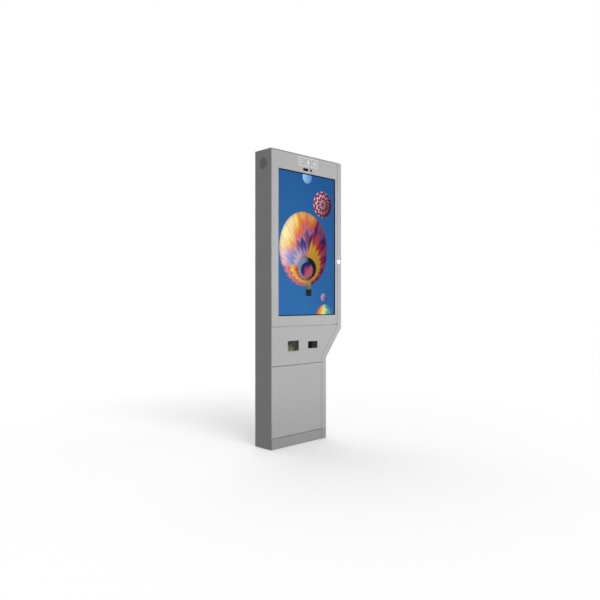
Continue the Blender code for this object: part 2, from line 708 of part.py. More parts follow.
def make_bolt(name, seam, carrier):
    """A slide bolt behind a door's right lip; pushed right it goes behind the jamb."""
    middle = seam - RAIL_HEIGHT / 2 - SHEET / 2 - SHEET - BOLT_SIZE[2] / 2
    tip = right_x(middle - BOLT_SIZE[2] / 2, DOOR_INSET + SHEET) - 2 * SHEET
    front = DOOR_BACK + SHEET + CLEAR
    centre = Vector((tip - BOLT_SIZE[0] / 2, front + BOLT_SIZE[1] / 2, middle))
    bolt = piece(f"{name}_door_bolt", block(centre, BOLT_SIZE), zinc(), centre, carrier)
    knob = (tip - BOLT_SIZE[0] + 2 * BOLT_KNOB_R, front + BOLT_SIZE[1], middle)
    weld(bolt, rod(knob, "y", BOLT_KNOB_R, -SHEET, BOLT_KNOB_LENGTH, 16))
    guide_centre = (tip - BOLT_GUIDE_LENGTH / 2 + SHEET, centre.y, middle)
    around = 2 * (SHEET - CLEAR)
    guide = piece(f"{name}_bolt_guide",
                  block(guide_centre, (BOLT_GUIDE_LENGTH, BOLT_SIZE[1] + around,
                                       BOLT_SIZE[2] + around)),
                  zinc(), parent=carrier)
    cut(guide, block(guide_centre, (2 * BOLT_GUIDE_LENGTH, BOLT_SIZE[1] + 2 * CLEAR,
                                    BOLT_SIZE[2] + 2 * CLEAR)))


def make_lower_door():
    low = SEAM_PLINTH + SEAM / 2
    high = SEAM_MIDDLE - SEAM / 2
    carrier = pivot("lower_door_pivot", (PIVOT_X, PIVOT_Y, low))
    make_door("lower_door", low, high, carrier)
    make_bolt("lower", SEAM_MIDDLE, carrier)


# ---- lock in the jamb -------------------------------------------------------------------
def make_lock():
    axis = (LOCK_X, 0, LOCK_Z)
    bore = LOCK_PLUG_R + RUNNING
    front = FRONT - LOCK_PROUD
    behind = FRONT - CLEAR
    tube = [(bore, front), (LOCK_FLANGE_R - LOCK_EDGE_CUT, front),
            (LOCK_FLANGE_R, front + LOCK_EDGE_CUT),
            (LOCK_FLANGE_R, behind), (LOCK_BARREL_R, behind), (LOCK_BARREL_R, LOCK_BACK),
            (bore, LOCK_BACK)]
    piece("lock_barrel", turned(tube, "y", axis), chrome())
    nut = [(LOCK_X + LOCK_NUT_R * math.cos(corner * math.tau / 6),
            LOCK_Z + LOCK_NUT_R * math.sin(corner * math.tau / 6))
           for corner in range(6)]
    nut_front = SKIN_BACK + CLEAR
    lock_nut = piece("lock_nut", prism(nut, "y", nut_front, nut_front + LOCK_NUT_THICK), zinc())
    cut(lock_nut, rod(axis, "y", LOCK_BARREL_R + CLEAR, FRONT, LOCK_BACK))
    carrier = pivot("lock_pivot", (LOCK_X, LOCK_BACK, LOCK_Z))
    cam_front = LOCK_BACK + CAM_BEHIND
    plug = piece("lock_plug",
                 rod(axis, "y", LOCK_PLUG_R, front - PLUG_PROUD, cam_front - CLEAR),
                 chrome(), (LOCK_X, LOCK_BACK, LOCK_Z), carrier)
    cut(plug, block((LOCK_X, front, LOCK_Z), LOCK_KEYWAY))
    low = (LOCK_X - CAM_WIDTH / 2, cam_front, LOCK_Z - CAM_WIDTH / 2)
    high = (LOCK_X + CAM_WIDTH / 2, cam_front + CAM_THICK, LOCK_Z + CAM_LENGTH)
    piece("lock_cam", box(low, high), zinc(), (LOCK_X, LOCK_BACK, LOCK_Z), carrier)


# ---- ticket printer ---------------------------------------------------------------------
def make_printer():
    floor = PRINT_LINE - PRINTER_BELOW
    top = PRINT_LINE + PRINTER_ABOVE
    wall = PRINTER_SHEET
    outline = [(PRINTER_LEFT, floor), (PRINTER_LEFT, top), (PRINTER_LEFT + wall, top),
               (PRINTER_LEFT + wall, floor + wall), (PRINTER_RIGHT - wall, floor + wall),
               (PRINTER_RIGHT - wall, top), (PRINTER_RIGHT, top), (PRINTER_RIGHT, floor)]
    chassis = piece("printer_chassis",
                    prism(outline, "y", PRINTER_FRONT, PRINTER_FRONT + PRINTER_LENGTH),
                    dark_metal())
    reach = PRINTER_WIDTH
    cut(chassis, rod((OUTLET_X, PLATEN_Y, PLATEN_Z), "x", SHAFT_R + RUNNING,
                     -reach, reach, 16))
    cut(chassis, rod((PRINTER_LEFT, MOTOR_Y, PLATEN_Z), "x", SHAFT_R + RUNNING,
                     -2 * wall, 2 * wall, 16))
    make_platen()
    make_motor()
    make_head()
    make_lever()
    make_shelf(floor)


def make_platen():
    """Rubber roller on its shaft, with the driven gear outside the chassis."""
    axis = (OUTLET_X, PLATEN_Y, PLATEN_Z)
    half = PLATEN_LENGTH / 2
    side = PRINTER_WIDTH / 2
    gear_end = side + 2 * CLEAR
    carrier = pivot("platen_pivot", axis)
    sleeve = [(SHAFT_R + CLEAR, -half), (PLATEN_R - CLEAR, -half), (PLATEN_R - CLEAR, half),
              (SHAFT_R + CLEAR, half)]
    piece("platen_roller", turned(sleeve, "x", axis), finish("rubber", BLACK, 0.8), axis,
          carrier)
    wheel = piece("platen_gear_shaft",
                  gear(PLATEN_TEETH, PLATEN_Y, PLATEN_Z, 0.0,
                       OUTLET_X - gear_end - GEAR_THICK, OUTLET_X - gear_end),
                  finish("white_nylon", (0.8, 0.8, 0.76), 0.4), axis, carrier)
    weld(wheel, rod(axis, "x", SHAFT_R, -gear_end - GEAR_THICK / 2, side + SHAFT_R, 16))


def make_motor():
    axis = (OUTLET_X, MOTOR_Y, PLATEN_Z)
    side = -PRINTER_WIDTH / 2
    inner = side + PRINTER_SHEET + CLEAR
    piece("feed_motor", rod(axis, "x", MOTOR_R, inner, inner + MOTOR_LENGTH), dark_metal())
    gear_end = side - 2 * CLEAR
    half_tooth = math.pi / PINION_TEETH
    pinion = piece("motor_pinion",
                   gear(PINION_TEETH, MOTOR_Y, PLATEN_Z, math.pi + half_tooth,
                        OUTLET_X + gear_end - GEAR_THICK, OUTLET_X + gear_end),
                   finish("brass", (0.7, 0.5, 0.2), 0.3, 1.0), axis)
    weld(pinion, rod(axis, "x", SHAFT_R - CLEAR, gear_end - SHEET, inner - CLEAR, 16))


def make_head():
    low = PRINT_LINE + CLEAR
    front = PLATEN_Y - HEAD_SIZE[1] / 2 + SHEET
    piece("print_head",
          box((OUTLET_X - HEAD_SIZE[0] / 2, front, low),
              (OUTLET_X + HEAD_SIZE[0] / 2, front + HEAD_SIZE[1], low + HEAD_SIZE[2])),
          dark_metal())
    blade_back = front - 2 * CLEAR
    blade_low = PRINT_LINE + SHEET / 2
    centre = (OUTLET_X, blade_back - BLADE_THICK / 2, blade_low + BLADE_HEIGHT / 2)
    piece("cutter_blade", block(centre, (HEAD_SIZE[0], BLADE_THICK, BLADE_HEIGHT)),
          finish("bare_steel", (0.6, 0.6, 0.6), 0.25, 1.0), centre)


def make_lever():
    """The lever beside the chassis that lifts the print head off the roller."""
    x = PRINTER_RIGHT + CLEAR
    axis = (x, PLATEN_Y + LEVER_BACK, PRINT_LINE + HEAD_SIZE[2] / 2)
    lever = piece("head_lever", rod(axis, "x", LEVER_BOSS_R, 0.0, LEVER_THICK, 20),
                  finish("green_plastic", (0.05, 0.35, 0.12), 0.4), axis)
    weld(lever, box((x, axis[1] - LEVER_WIDTH / 2, axis[2]),
                    (x + LEVER_THICK, axis[1] + LEVER_WIDTH / 2, axis[2] + LEVER_LENGTH)))


def make_shelf(floor):
    """A bent bracket on the rear panel under the printer."""
    top = floor - CLEAR
    back = REAR_INNER - CLEAR
    outline = [(PRINTER_FRONT, top), (back, top), (back, top - SHELF_DROP),
               (back - SHEET, top - SHELF_DROP), (back - SHEET, top - SHEET),
               (PRINTER_FRONT, top - SHEET)]
    wide = PRINTER_WIDTH / 2 + 6 * SHEET
    piece("printer_shelf", prism(outline, "x", OUTLET_X - wide, OUTLET_X + wide), zinc())


def make_paper_roll():
    axis = (OUTLET_X, ROLL_Y, ROLL_Z)
    half = ROLL_WIDTH / 2
    bore = SPINDLE_R + RUNNING
    sleeve = [(bore, -half), (ROLL_R, -half), (ROLL_R, half), (bore, half)]
    piece("paper_roll", turned(sleeve, "x", axis, 40), finish("paper", (0.9, 0.9, 0.88), 0.8),
          axis)
    inner = half + 2 * SHEET
    outer = inner + SHEET
    back = REAR_INNER - CLEAR
    front = ROLL_Y - 3 * SPINDLE_R
    outline = [(-outer, front), (-outer, back), (outer, back), (outer, front),
               (inner, front), (inner, back - SHEET), (-inner, back - SHEET),
               (-inner, front)]
    outline = [(OUTLET_X + x, y) for x, y in outline]
    holder = piece("roll_holder",
                   prism(outline, "z", ROLL_Z - 3 * SPINDLE_R, ROLL_Z + 3 * SPINDLE_R), zinc())
    cut(holder, rod(axis, "x", SPINDLE_R + CLEAR, -ROLL_WIDTH, ROLL_WIDTH))
    piece("roll_spindle", rod(axis, "x", SPINDLE_R, -outer - SPINDLE_R, outer + SPINDLE_R),
          finish("bare_steel", (0.6, 0.6, 0.6), 0.25, 1.0))


# ---- loudspeaker ------------------------------------------------------------------------
def make_speaker():
    grille_r = SPEAKER_R - CLEAR
    inner = LEFT + SHEET
    piece("speaker_grille",
          rod((0, 0, SPEAKER_Z), "x", grille_r, LEFT + CLEAR, inner, 32), dark_metal())
    start = inner + CLEAR
    rim = SPEAKER_R + SPEAKER_FLANGE
    end = start + SPEAKER_DEPTH
    profile = [(0.0, start + CONE_DEPTH + SHEET), (DUST_CAP_R, start + CONE_DEPTH),
               (CONE_R, start), (rim, start), (rim, start + SPEAKER_RIM_THICK),
               (CONE_R + SHEET, start + SPEAKER_RIM_THICK + SHEET / 2),
               (MAGNET_R, end - MAGNET_DEPTH), (MAGNET_R, end), (0.0, end)]
    piece("speaker_driver", turned(profile, "x", (0, 0, SPEAKER_Z), 32), black_plastic())


# ---- fans -------------------------------------------------------------------------------
def fan_blade(angle, x, z, start, end):
    """A pitched blade from inside the hub to near the bore."""
    lean = BLADE_LEAN
    thick = FAN_BLADE_THICK
    outline = [(start, -lean), (start, -lean + thick), (end, lean), (end, lean - thick)]
    blade = prism(outline, "x", FAN_HUB_R - BLADE_ROOT, FAN_BORE_R - BLADE_GAP)
    turn = Matrix.Translation((x, 0, z)) @ Matrix.Rotation(angle, 4, "Y")
    bmesh.ops.transform(blade, matrix=turn, verts=blade.verts)
    return blade


def make_fan(number, x):
    z = HEIGHT - FAN_DROP
    back = REAR_INNER - CLEAR
    front = back - FAN_DEPTH
    half = FAN_SIZE / 2
    frame_block = box((x - half, front, z - half), (x + half, back, z + half))
    frame = piece(f"fan_frame_{number}", frame_block, black_plastic())
    cut(frame, rod((x, 0, z), "y", FAN_BORE_R, front - SHEET, back + SHEET, 32))
    arm_front = back - 2 * SHEET
    weld(frame, box((x - FAN_BORE_R - SHEET, arm_front, z - SHEET),
                    (x + FAN_BORE_R + SHEET, back - SHEET / 2, z + SHEET)))
    weld(frame, rod((x, 0, z), "y", FAN_HUB_R, arm_front - SHEET / 2, back - SHEET / 4))
    hub_end = arm_front - SHEET
    axis = (x, (front + hub_end) / 2, z)
    rotor = piece(f"fan_rotor_{number}", rod((x, 0, z), "y", FAN_HUB_R, front + SHEET, hub_end),
                  black_plastic(), axis)
    for blade in range(FAN_BLADES):
        weld(rotor, fan_blade(blade * math.tau / FAN_BLADES, x, z, front + 2 * SHEET,
                              hub_end - SHEET))


# ---- electrical boxes -------------------------------------------------------------------
def make_boxes():
    back = REAR_INNER - CLEAR
    names = {"controller_box": (-1, CONTROLLER_SIZE), "power_supply": (1, SUPPLY_SIZE)}
    for name, (side, size) in names.items():
        x = side * (BOX_SPACE + size[0]) / 2
        piece(name, block((x, back - size[1] / 2, BOX_Z + size[2] / 2), size), zinc())
    make_switch_box(back)


def make_switch_box(back):
    """The mains box in the pedestal, with its rocker in a pocket at the front."""
    x = LEFT + PEDESTAL_WIDTH / 2
    size = SWITCH_BOX_SIZE
    front = back - size[1]
    body = piece("switch_box", block((x, back - size[1] / 2, SWITCH_BOX_Z), size),
                 finish("grey_plastic", (0.35, 0.36, 0.37), 0.5))
    deep = ROCKER_POCKET
    cut(body, box((x - ROCKER_SIZE[0] / 2, front - deep, SWITCH_BOX_Z - ROCKER_SIZE[1]),
                  (x + ROCKER_SIZE[0] / 2, front + deep, SWITCH_BOX_Z + ROCKER_SIZE[1])))
    axis = (x, front + deep / 2, SWITCH_BOX_Z)
    tall = ROCKER_SIZE[1] - 2 * SHEET
    bend = tall * math.tan(ROCKER_TILT)
    face = -deep / 2 - ROCKER_PROUD
    outline = [(ROCKER_CORE, -ROCKER_CORE), (ROCKER_CORE, ROCKER_CORE),
               (-ROCKER_LIP, tall), (face, tall), (face + bend, 0.0), (face, -tall),
               (-ROCKER_LIP, -tall)]
    rocker = prism(outline, "x", -ROCKER_SIZE[0] / 2 + SHEET / 2, ROCKER_SIZE[0] / 2 - SHEET / 2)
    place = Matrix.Translation(axis) @ Matrix.Rotation(ROCKER_TILT, 4, "X")
    bmesh.ops.transform(rocker, matrix=place, verts=rocker.verts)
    piece("mains_rocker", rocker, black_plastic(), axis)


def make_gland():
    """The cable entry in the base plate, for the mains lead and the data lead."""
    axis = (LEFT + PEDESTAL_WIDTH / 2, BACK - CABLE_BACK, 0)
    flange = CABLE_HOLE_R + 2 * SHEET
    seat = BASE_THICK + CLEAR
    neck = CABLE_HOLE_R - CLEAR
    top = BASE_THICK + GLAND_HEIGHT
    profile = [(GLAND_BORE_R, SHEET), (neck, SHEET), (neck, seat), (flange, seat),
               (flange, seat + 3 * SHEET), (GLAND_BORE_R + 2 * SHEET, top - SHEET),
               (GLAND_BORE_R + SHEET, top), (GLAND_BORE_R, top)]
    piece("cable_gland", turned(profile, "z", axis), black_plastic())


# ---- whole machine ----------------------------------------------------------------------
def make_machine():
    clear_scene()
    make_shell()
    make_rear_panel()
    make_base()
    make_plinth_cover()
    make_rails()
    make_pivots()
    make_display_door()
    make_service_door()
    make_lower_door()
    make_lock()
    make_printer()
    make_paper_roll()
    make_speaker()
    make_fan(1, -FAN_SPREAD / 2)
    make_fan(2, FAN_SPREAD / 2)
    make_boxes()
    make_gland()
    bpy.context.view_layer.update()


make_machine()
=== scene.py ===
"""Looks of a free-standing ticket machine: powder-coated steel cabinet and doors, a portrait
display, a ticket outlet with a clear flap, a reader, a lock, and what they hold inside.

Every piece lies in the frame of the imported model.  Units are metres, +Z up, front to -Y.
"""
import json
import math

import bmesh
import bpy
from mathutils import Matrix, Vector


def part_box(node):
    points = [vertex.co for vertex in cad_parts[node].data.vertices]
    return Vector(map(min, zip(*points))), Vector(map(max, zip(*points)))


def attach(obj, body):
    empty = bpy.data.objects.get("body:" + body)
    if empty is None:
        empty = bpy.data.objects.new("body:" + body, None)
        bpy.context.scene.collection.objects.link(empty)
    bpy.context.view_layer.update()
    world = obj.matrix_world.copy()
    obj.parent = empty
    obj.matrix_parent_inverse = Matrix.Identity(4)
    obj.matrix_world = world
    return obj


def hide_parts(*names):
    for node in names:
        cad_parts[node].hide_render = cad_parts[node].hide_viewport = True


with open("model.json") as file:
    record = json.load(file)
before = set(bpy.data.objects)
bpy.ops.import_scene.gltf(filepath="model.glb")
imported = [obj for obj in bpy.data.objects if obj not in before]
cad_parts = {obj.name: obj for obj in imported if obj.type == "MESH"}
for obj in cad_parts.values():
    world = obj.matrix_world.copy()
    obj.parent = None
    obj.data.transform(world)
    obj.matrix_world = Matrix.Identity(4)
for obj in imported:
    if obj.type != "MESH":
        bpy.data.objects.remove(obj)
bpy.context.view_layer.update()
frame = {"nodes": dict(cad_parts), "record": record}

NODES = frame["nodes"]
BODY_OF = {n: b for b, members in frame["record"]["behaviour"]["bodies"].items()
           for n in members}

# ---- sizes of the fine detail ----
FRONT = -0.085                # plane of the doors' faces
FOLD = 0.0008                 # bend radius that shows on folded sheet
SMALL_EDGE = 0.0003
SHARP_TURN = math.radians(28.0)
PLINTH_TOP = 0.075
STEP_LEVEL = 0.83             # the rear panel is narrower below it
PEDESTAL_RIGHT = 0.188        # right edge of the rear panel's narrow part
PICTURE_WIDE = 0.573          # lit area of the display
PICTURE_HIGH = 1.018
BASKET_X = 0.012              # middle of the basket in the picture
SIGN_LEVEL = 2.0335           # middle of the sign above the floor
SIGN_PROUD = 0.00015          # printed vinyl on the door
CELL_PITCH = 0.0046           # holes of the loudspeaker grille
CELL_BAR = 0.0019
GRILLE_THICK = 0.0011
SCREW_PROUD = 0.0012          # heads of the small screws
READER_RIM = 0.0022
RIB_DEEP = 0.008              # cooling ribs of the controller
FLOOR_RADIUS = 16.0
LAMP_FAR = 5.0

WINDOW_BLACK = (0.0018, 0.0018, 0.0020)
PAINT = (0.450, 0.450, 0.452)


# ---- shader maths ----
class Value:
    """A number or a colour that varies over a surface; sums on it add Math nodes."""

    def __init__(self, finish, socket):
        self.finish = finish
        self.socket = socket

    def math(self, operation, *others):
        return self.finish.node("ShaderNodeMath", {"operation": operation}, [self, *others])

    def __add__(self, other):
        return self.math("ADD", other)

    __radd__ = __add__

    def __mul__(self, other):
        return self.math("MULTIPLY", other)

    __rmul__ = __mul__

    def __sub__(self, other):
        return self.math("SUBTRACT", other)

    def __rsub__(self, other):
        return self.finish.node("ShaderNodeMath", {"operation": "SUBTRACT"}, [other, self])

    def __truediv__(self, other):
        return self.math("DIVIDE", other)

    def __pow__(self, other):
        return self.math("POWER", other)

    def __abs__(self):
        return self.math("ABSOLUTE")

    def __lt__(self, other):
        return self.math("LESS_THAN", other)

    def __gt__(self, other):
        return self.math("GREATER_THAN", other)

    def low(self, other):
        return self.math("MINIMUM", other)

    def high(self, other):
        return self.math("MAXIMUM", other)

    def fade(self, start, end):
        """0 at start and 1 at end, eased and held outside."""
        settings = {"interpolation_type": "SMOOTHSTEP"}
        return self.finish.node("ShaderNodeMapRange", settings, [self, start, end, 0.0, 1.0])


def set_stops(ramp, stops):
    while len(ramp.elements) < len(stops):
        ramp.elements.new(0.5)
    for element, (place, colour) in zip(ramp.elements, stops):
        element.position = place
        element.color = (*colour, 1.0)


class Finish:
    """A material of its own, built round one Principled shader."""

    def __init__(self, name):
        self.material = bpy.data.materials.new(name)
        self.material.use_nodes = True
        self.tree = self.material.node_tree
        self.tree.nodes.clear()
        self.shader = self.tree.nodes.new("ShaderNodeBsdfPrincipled")
        output = self.tree.nodes.new("ShaderNodeOutputMaterial")
        self.tree.links.new(self.shader.outputs[0], output.inputs["Surface"])
        self.point = self.node("ShaderNodeTexCoord", output="Object")
        split = self.node("ShaderNodeSeparateXYZ", {}, [self.point]).socket.node
        self.x, self.y, self.z = (Value(self, socket) for socket in split.outputs)

    def fill(self, socket, value):
        if isinstance(value, Value):
            self.tree.links.new(value.socket, socket)
        elif isinstance(value, tuple) and len(value) == 3 and socket.type == "RGBA":
            socket.default_value = (*value, 1.0)
        else:
            socket.default_value = value

    def node(self, kind, settings=None, sockets=(), output=0):
        """Add a node: its settings first, then the values or links of its sockets."""
        made = self.tree.nodes.new(kind)
        for key, value in (settings or {}).items():
            if key == "stops":
                set_stops(made.color_ramp, value)
            else:
                setattr(made, key, value)
        pairs = sockets.items() if isinstance(sockets, dict) else enumerate(sockets)
        for key, value in pairs:
            self.fill(made.inputs[key], value)
        return Value(self, made.outputs[output])

    def ramp(self, value, stops):
        return self.node("ShaderNodeValToRGB", {"stops": stops}, [value])

    def mix(self, share, first, second, blend="MIX"):
        settings = {"data_type": "RGBA", "blend_type": blend}
        return self.node("ShaderNodeMix", settings, {0: share, 6: first, 7: second}, output=2)

    def noise(self, size, detail=2.0, stretch=None):
        """Cloudy variation from 0 to 1; a stretch below 1 draws it out along that axis."""
        point = self.point
        if stretch:
            point = self.node("ShaderNodeMapping", {"vector_type": "POINT"},
                              {"Vector": point, "Scale": stretch})
        return self.node("ShaderNodeTexNoise", {},
                         {"Vector": point, "Scale": 1.0 / size, "Detail": detail})

    def cells(self, size, output="Distance"):
        return self.node("ShaderNodeTexVoronoi", {},
                         {"Vector": self.point, "Scale": 1.0 / size}, output=output)

    def edges(self, box, width):
        """1 on the edges of a box-shaped piece, fading out within width."""
        gaps = []
        for along, start, end in zip((self.x, self.y, self.z), *box):
            gaps.append((end - start) / 2 - abs(along - (start + end) / 2))
        small = gaps[0].low(gaps[1])
        large = gaps[0].high(gaps[1])
        return 1 - small.high(large.low(gaps[2])).fade(0.0, width)

    def relief(self, *layers):
        """Bump from (height, depth in metres) pairs, one over the other."""
        normal = None
        for height, depth in layers:
            sockets = {"Height": height, "Distance": depth, "Strength": 1.0}
            if normal:
                sockets["Normal"] = normal
            normal = self.node("ShaderNodeBump", {}, sockets)
        self.fill(self.shader.inputs["Normal"], normal)

    def set(self, **values):
        for key, value in values.items():
            self.fill(self.shader.inputs[key.replace("_", " ")], value)
        return self.material


# ---- finishes ----
def shade(colour, factor):
    return tuple(channel * factor for channel in colour)


def powder_coat(name, box, level=1.0):
    """Silver-grey powder coat: fine peel, faint flake, handling marks and scuffs low down, and a
    painted shade that darkens the front faces towards the floor, most of all on the plinth.
    """
    f = Finish(name)
    colour = shade(PAINT, level)
    cloud = f.noise(0.35, 3.0)
    flake = f.noise(0.0007, 1.0)
    peel = f.noise(0.0022, 2.0)
    tone = f.mix(cloud, shade(colour, 0.965), shade(colour, 1.03))
    tone = f.mix(flake.fade(0.3, 0.75) * 0.35, tone, shade(colour, 1.12))
    worn = f.edges(box, 0.004) * f.noise(0.02, 3.0).fade(0.35, 0.7)
    tone = f.mix(worn * 0.35, tone, shade(colour, 1.25))
    streaks = f.noise(0.03, 4.0, stretch=(1.0, 1.0, 0.12)).fade(0.52, 0.8)
    low_down = 1 - f.z.fade(0.0, 0.28)
    # painted shade: the front faces get darker towards the floor and darker still on the plinth
    on_front = 1 - (f.y - FRONT).fade(0.0015, 0.004)
    on_plinth = 1 - f.z.fade(PLINTH_TOP - 0.005, PLINTH_TOP + 0.005)
    painted_floor_shade = (1 - f.z.fade(0.02, 0.50)) * 0.16 + on_plinth * 0.24
    tone = f.mix(on_front * painted_floor_shade, tone, shade(colour, 0.18))
    tone = f.mix(low_down * streaks * 0.12, tone, (0.20, 0.19, 0.175))
    scuff = f.noise(0.012, 4.0, stretch=(0.25, 1.0, 1.0)).fade(0.66, 0.76) * low_down
    tone = f.mix(scuff * 0.4, tone, shade(colour, 0.6))
    smear = f.noise(0.09, 3.0).fade(0.45, 0.75)
    f.relief((peel, 0.00002), (flake, 0.000004))
    return f.set(Base_Color=tone, Roughness=0.44 + smear * 0.07 - worn * 0.08 + scuff * 0.1,
                 Metallic=0.06 + worn * 0.2, Specular_IOR_Level=0.42)


def zinc(name, box):
    """Galvanised sheet: spangle, drawing lines and dull handling marks."""
    f = Finish(name)
    spangle = f.cells(0.011, output="Color")
    grey = f.node("ShaderNodeSeparateColor", {}, [spangle])
    line = f.noise(0.0016, 2.0, stretch=(0.05, 1.0, 1.0))
    dull = f.noise(0.06, 4.0)
    tone = f.mix(grey, (0.47, 0.48, 0.49), (0.66, 0.67, 0.68))
    tone = f.mix(dull.fade(0.45, 0.75) * 0.5, tone, (0.42, 0.42, 0.41))
    tone = f.mix(f.edges(box, 0.0015) * 0.5, tone, (0.78, 0.78, 0.78))
    f.relief((line, 0.000006), (grey, 0.000006))
    return f.set(Base_Color=tone, Roughness=0.30 + grey * 0.12 + dull * 0.16, Metallic=0.92)


def brushed(name, box, colour=(0.62, 0.62, 0.61), rough=0.22, along=(0.03, 1.0, 1.0)):
    """Bare steel with the lines of its grinding and small scratches."""
    f = Finish(name)
    line = f.noise(0.0008, 3.0, stretch=along)
    stain = f.noise(0.03, 3.0)
    tone = f.mix(line, shade(colour, 0.86), shade(colour, 1.08))
    tone = f.mix(stain.fade(0.5, 0.8) * 0.25, tone, shade(colour, 0.7))
    tone = f.mix(f.edges(box, 0.001) * 0.4, tone, shade(colour, 1.25))
    f.relief((line, 0.000004))
    return f.set(Base_Color=tone, Roughness=rough + line * 0.12 + stain * 0.08, Metallic=1.0)


def plated(name, box):
    """Bright plating on the lock, dulled by keys and hands."""
    f = Finish(name)
    scratch = f.noise(0.0012, 4.0, stretch=(1.0, 1.0, 0.15))
    rub = f.noise(0.008, 3.0)
    tone = f.mix(rub, (0.80, 0.80, 0.81), (0.90, 0.90, 0.90))
    tone = f.mix(scratch.fade(0.6, 0.75) * 0.4, tone, (0.62, 0.61, 0.58))
    f.relief((scratch, 0.000003))
    return f.set(Base_Color=tone, Roughness=0.16 + rub * 0.14 + scratch * 0.06, Metallic=1.0)


def settled(maker, **choices):
    """A maker of finishes with some of its choices made."""
    return lambda name, box: maker(name, box, **choices)


def moulded(name, box, colour, rough=0.42, grain=0.0007, lift=1.5, metal=0.0, dusty=0.12):
    """Moulded plastic or painted housing: spark-eroded grain and edges rubbed lighter."""
    f = Finish(name)
    pore = f.noise(grain, 2.0)
    cloud = f.noise(0.05, 3.0)
    tone = f.mix(cloud, shade(colour, 0.86), shade(colour, 1.14))
    tone = f.mix(pore.fade(0.4, 0.8) * 0.4, tone, shade(colour, 1.3))
    rubbed = f.edges(box, 0.0016) * f.noise(0.006, 3.0).fade(0.3, 0.7)
    tone = f.mix(rubbed * 0.6, tone, shade(colour, 1.0 + lift))
    dust = f.noise(0.018, 4.0).fade(0.55, 0.8)
    tone = f.mix(dust * dusty, tone, (0.30, 0.29, 0.27))
    f.relief((pore, 0.00002))
    return f.set(Base_Color=tone, Roughness=rough + cloud * 0.08 + dust * 0.14 - rubbed * 0.12,
                 Metallic=metal, Specular_IOR_Level=0.35)


black_plastic = settled(moulded, colour=(0.014, 0.014, 0.015), lift=2.0, dusty=0.03)
dark_metal = settled(moulded, colour=(0.055, 0.056, 0.060), rough=0.36, grain=0.0012,
                     metal=0.55)
box_metal = settled(moulded, colour=(0.20, 0.205, 0.21), rough=0.34, grain=0.0009, lift=1.0,
                    metal=0.7)
grey_plastic = settled(moulded, colour=(0.33, 0.34, 0.35), lift=0.4)
green_plastic = settled(moulded, colour=(0.035, 0.30, 0.10), lift=0.5)
nylon = settled(moulded, colour=(0.70, 0.69, 0.63), lift=0.2, grain=0.0012)
brass = settled(brushed, colour=(0.66, 0.46, 0.17), rough=0.20, along=(1.0, 1.0, 1.0))


def foam(name, box):
    """Closed-cell foam tape."""
    f = Finish(name)
    pores = f.cells(0.0009)
    cloud = f.noise(0.02)
    tone = f.mix(pores, (0.010, 0.010, 0.011), (0.050, 0.050, 0.052))
    tone = f.mix(cloud * 0.4, tone, (0.03, 0.03, 0.03))
    f.relief((pores, 0.0002))
    return f.set(Base_Color=tone, Roughness=0.80 + cloud * 0.15)


def rubber(name, box):
    """Ground rubber sleeve with a trace of paper dust."""
    f = Finish(name)
    ground = f.noise(0.0005, 2.0, stretch=(0.4, 1.0, 1.0))
    dust = f.noise(0.006, 4.0).fade(0.5, 0.75)
    tone = f.mix(ground, (0.018, 0.018, 0.018), (0.040, 0.039, 0.038))
    tone = f.mix(dust * 0.25, tone, (0.32, 0.31, 0.29))
    f.relief((ground, 0.00003))
    return f.set(Base_Color=tone, Roughness=0.62 + dust * 0.25)


def paper(name, box):
    """The wound edge of a paper roll, and its plain outer turn."""
    f = Finish(name)
    low, high = box
    y = f.y - (low[1] + high[1]) / 2
    z = f.z - (low[2] + high[2]) / 2
    radius = (y * y + z * z) ** 0.5
    winding = (radius * (math.tau / 0.0009)).math("SINE") * 0.5 + 0.5
    fibre = f.noise(0.0012, 4.0)
    age = (radius * 60.0 + f.noise(0.01) * 0.4).math("FRACT")
    rim = f.edges(box, 0.003)
    tone = f.mix(winding * 0.35, (0.83, 0.82, 0.79), (0.62, 0.60, 0.56))
    tone = f.mix(fibre * 0.3, tone, (0.90, 0.90, 0.88))
    tone = f.mix(age * 0.08 + rim * 0.05, tone, (0.55, 0.53, 0.48))
    f.relief((winding, 0.00008), (fibre, 0.00001))
    return f.set(Base_Color=tone, Roughness=0.78 + fibre * 0.15)


def olive_plastic(name, box):
    """Tray of the outlet: olive plastic, streaked, with painted light low on the left that fades
    to painted shade towards the top and right.
    """
    f = Finish(name)
    low, high = box
    mottle = f.noise(0.014, 4.0)
    spots = f.noise(0.004, 3.0)
    across = (f.x - low[0]) / (high[0] - low[0])
    up = (f.z - low[2]) / (high[2] - low[2])
    # painted light and shade: the tray is lighter low on the left and near black towards the top
    # and right
    lit = (1 - across) * 0.55 + (1 - up) * 0.75
    tone = f.mix((lit * mottle).fade(0.22, 0.62), (0.022, 0.026, 0.010), (0.62, 0.64, 0.45))
    tone = f.mix(spots.fade(0.5, 0.7) * 0.5, tone, (0.07, 0.08, 0.03))
    tone = f.mix(f.edges(box, 0.0012) * 0.3, tone, (0.35, 0.36, 0.26))
    f.relief((spots, 0.00004), (mottle, 0.0001))
    return f.set(Base_Color=tone, Roughness=0.34 + mottle * 0.2 + spots * 0.1)


def clear_plastic(name, box):
    """Clear flap, fogged by fine scratches where hands push it."""
    f = Finish(name)
    hair = f.noise(0.0012, 4.0, stretch=(1.0, 1.0, 0.08))
    touch = f.noise(0.02, 3.0).fade(0.4, 0.75)
    tone = f.mix(touch, (0.22, 0.25, 0.17), (0.36, 0.38, 0.30))
    haze = 0.05 + touch * 0.08 + hair.fade(0.55, 0.8) * 0.10 + f.edges(box, 0.0012) * 0.4
    f.relief((hair, 0.000004))
    return f.set(Base_Color=tone, Roughness=0.12 + touch * 0.2 + hair * 0.05, Alpha=haze)


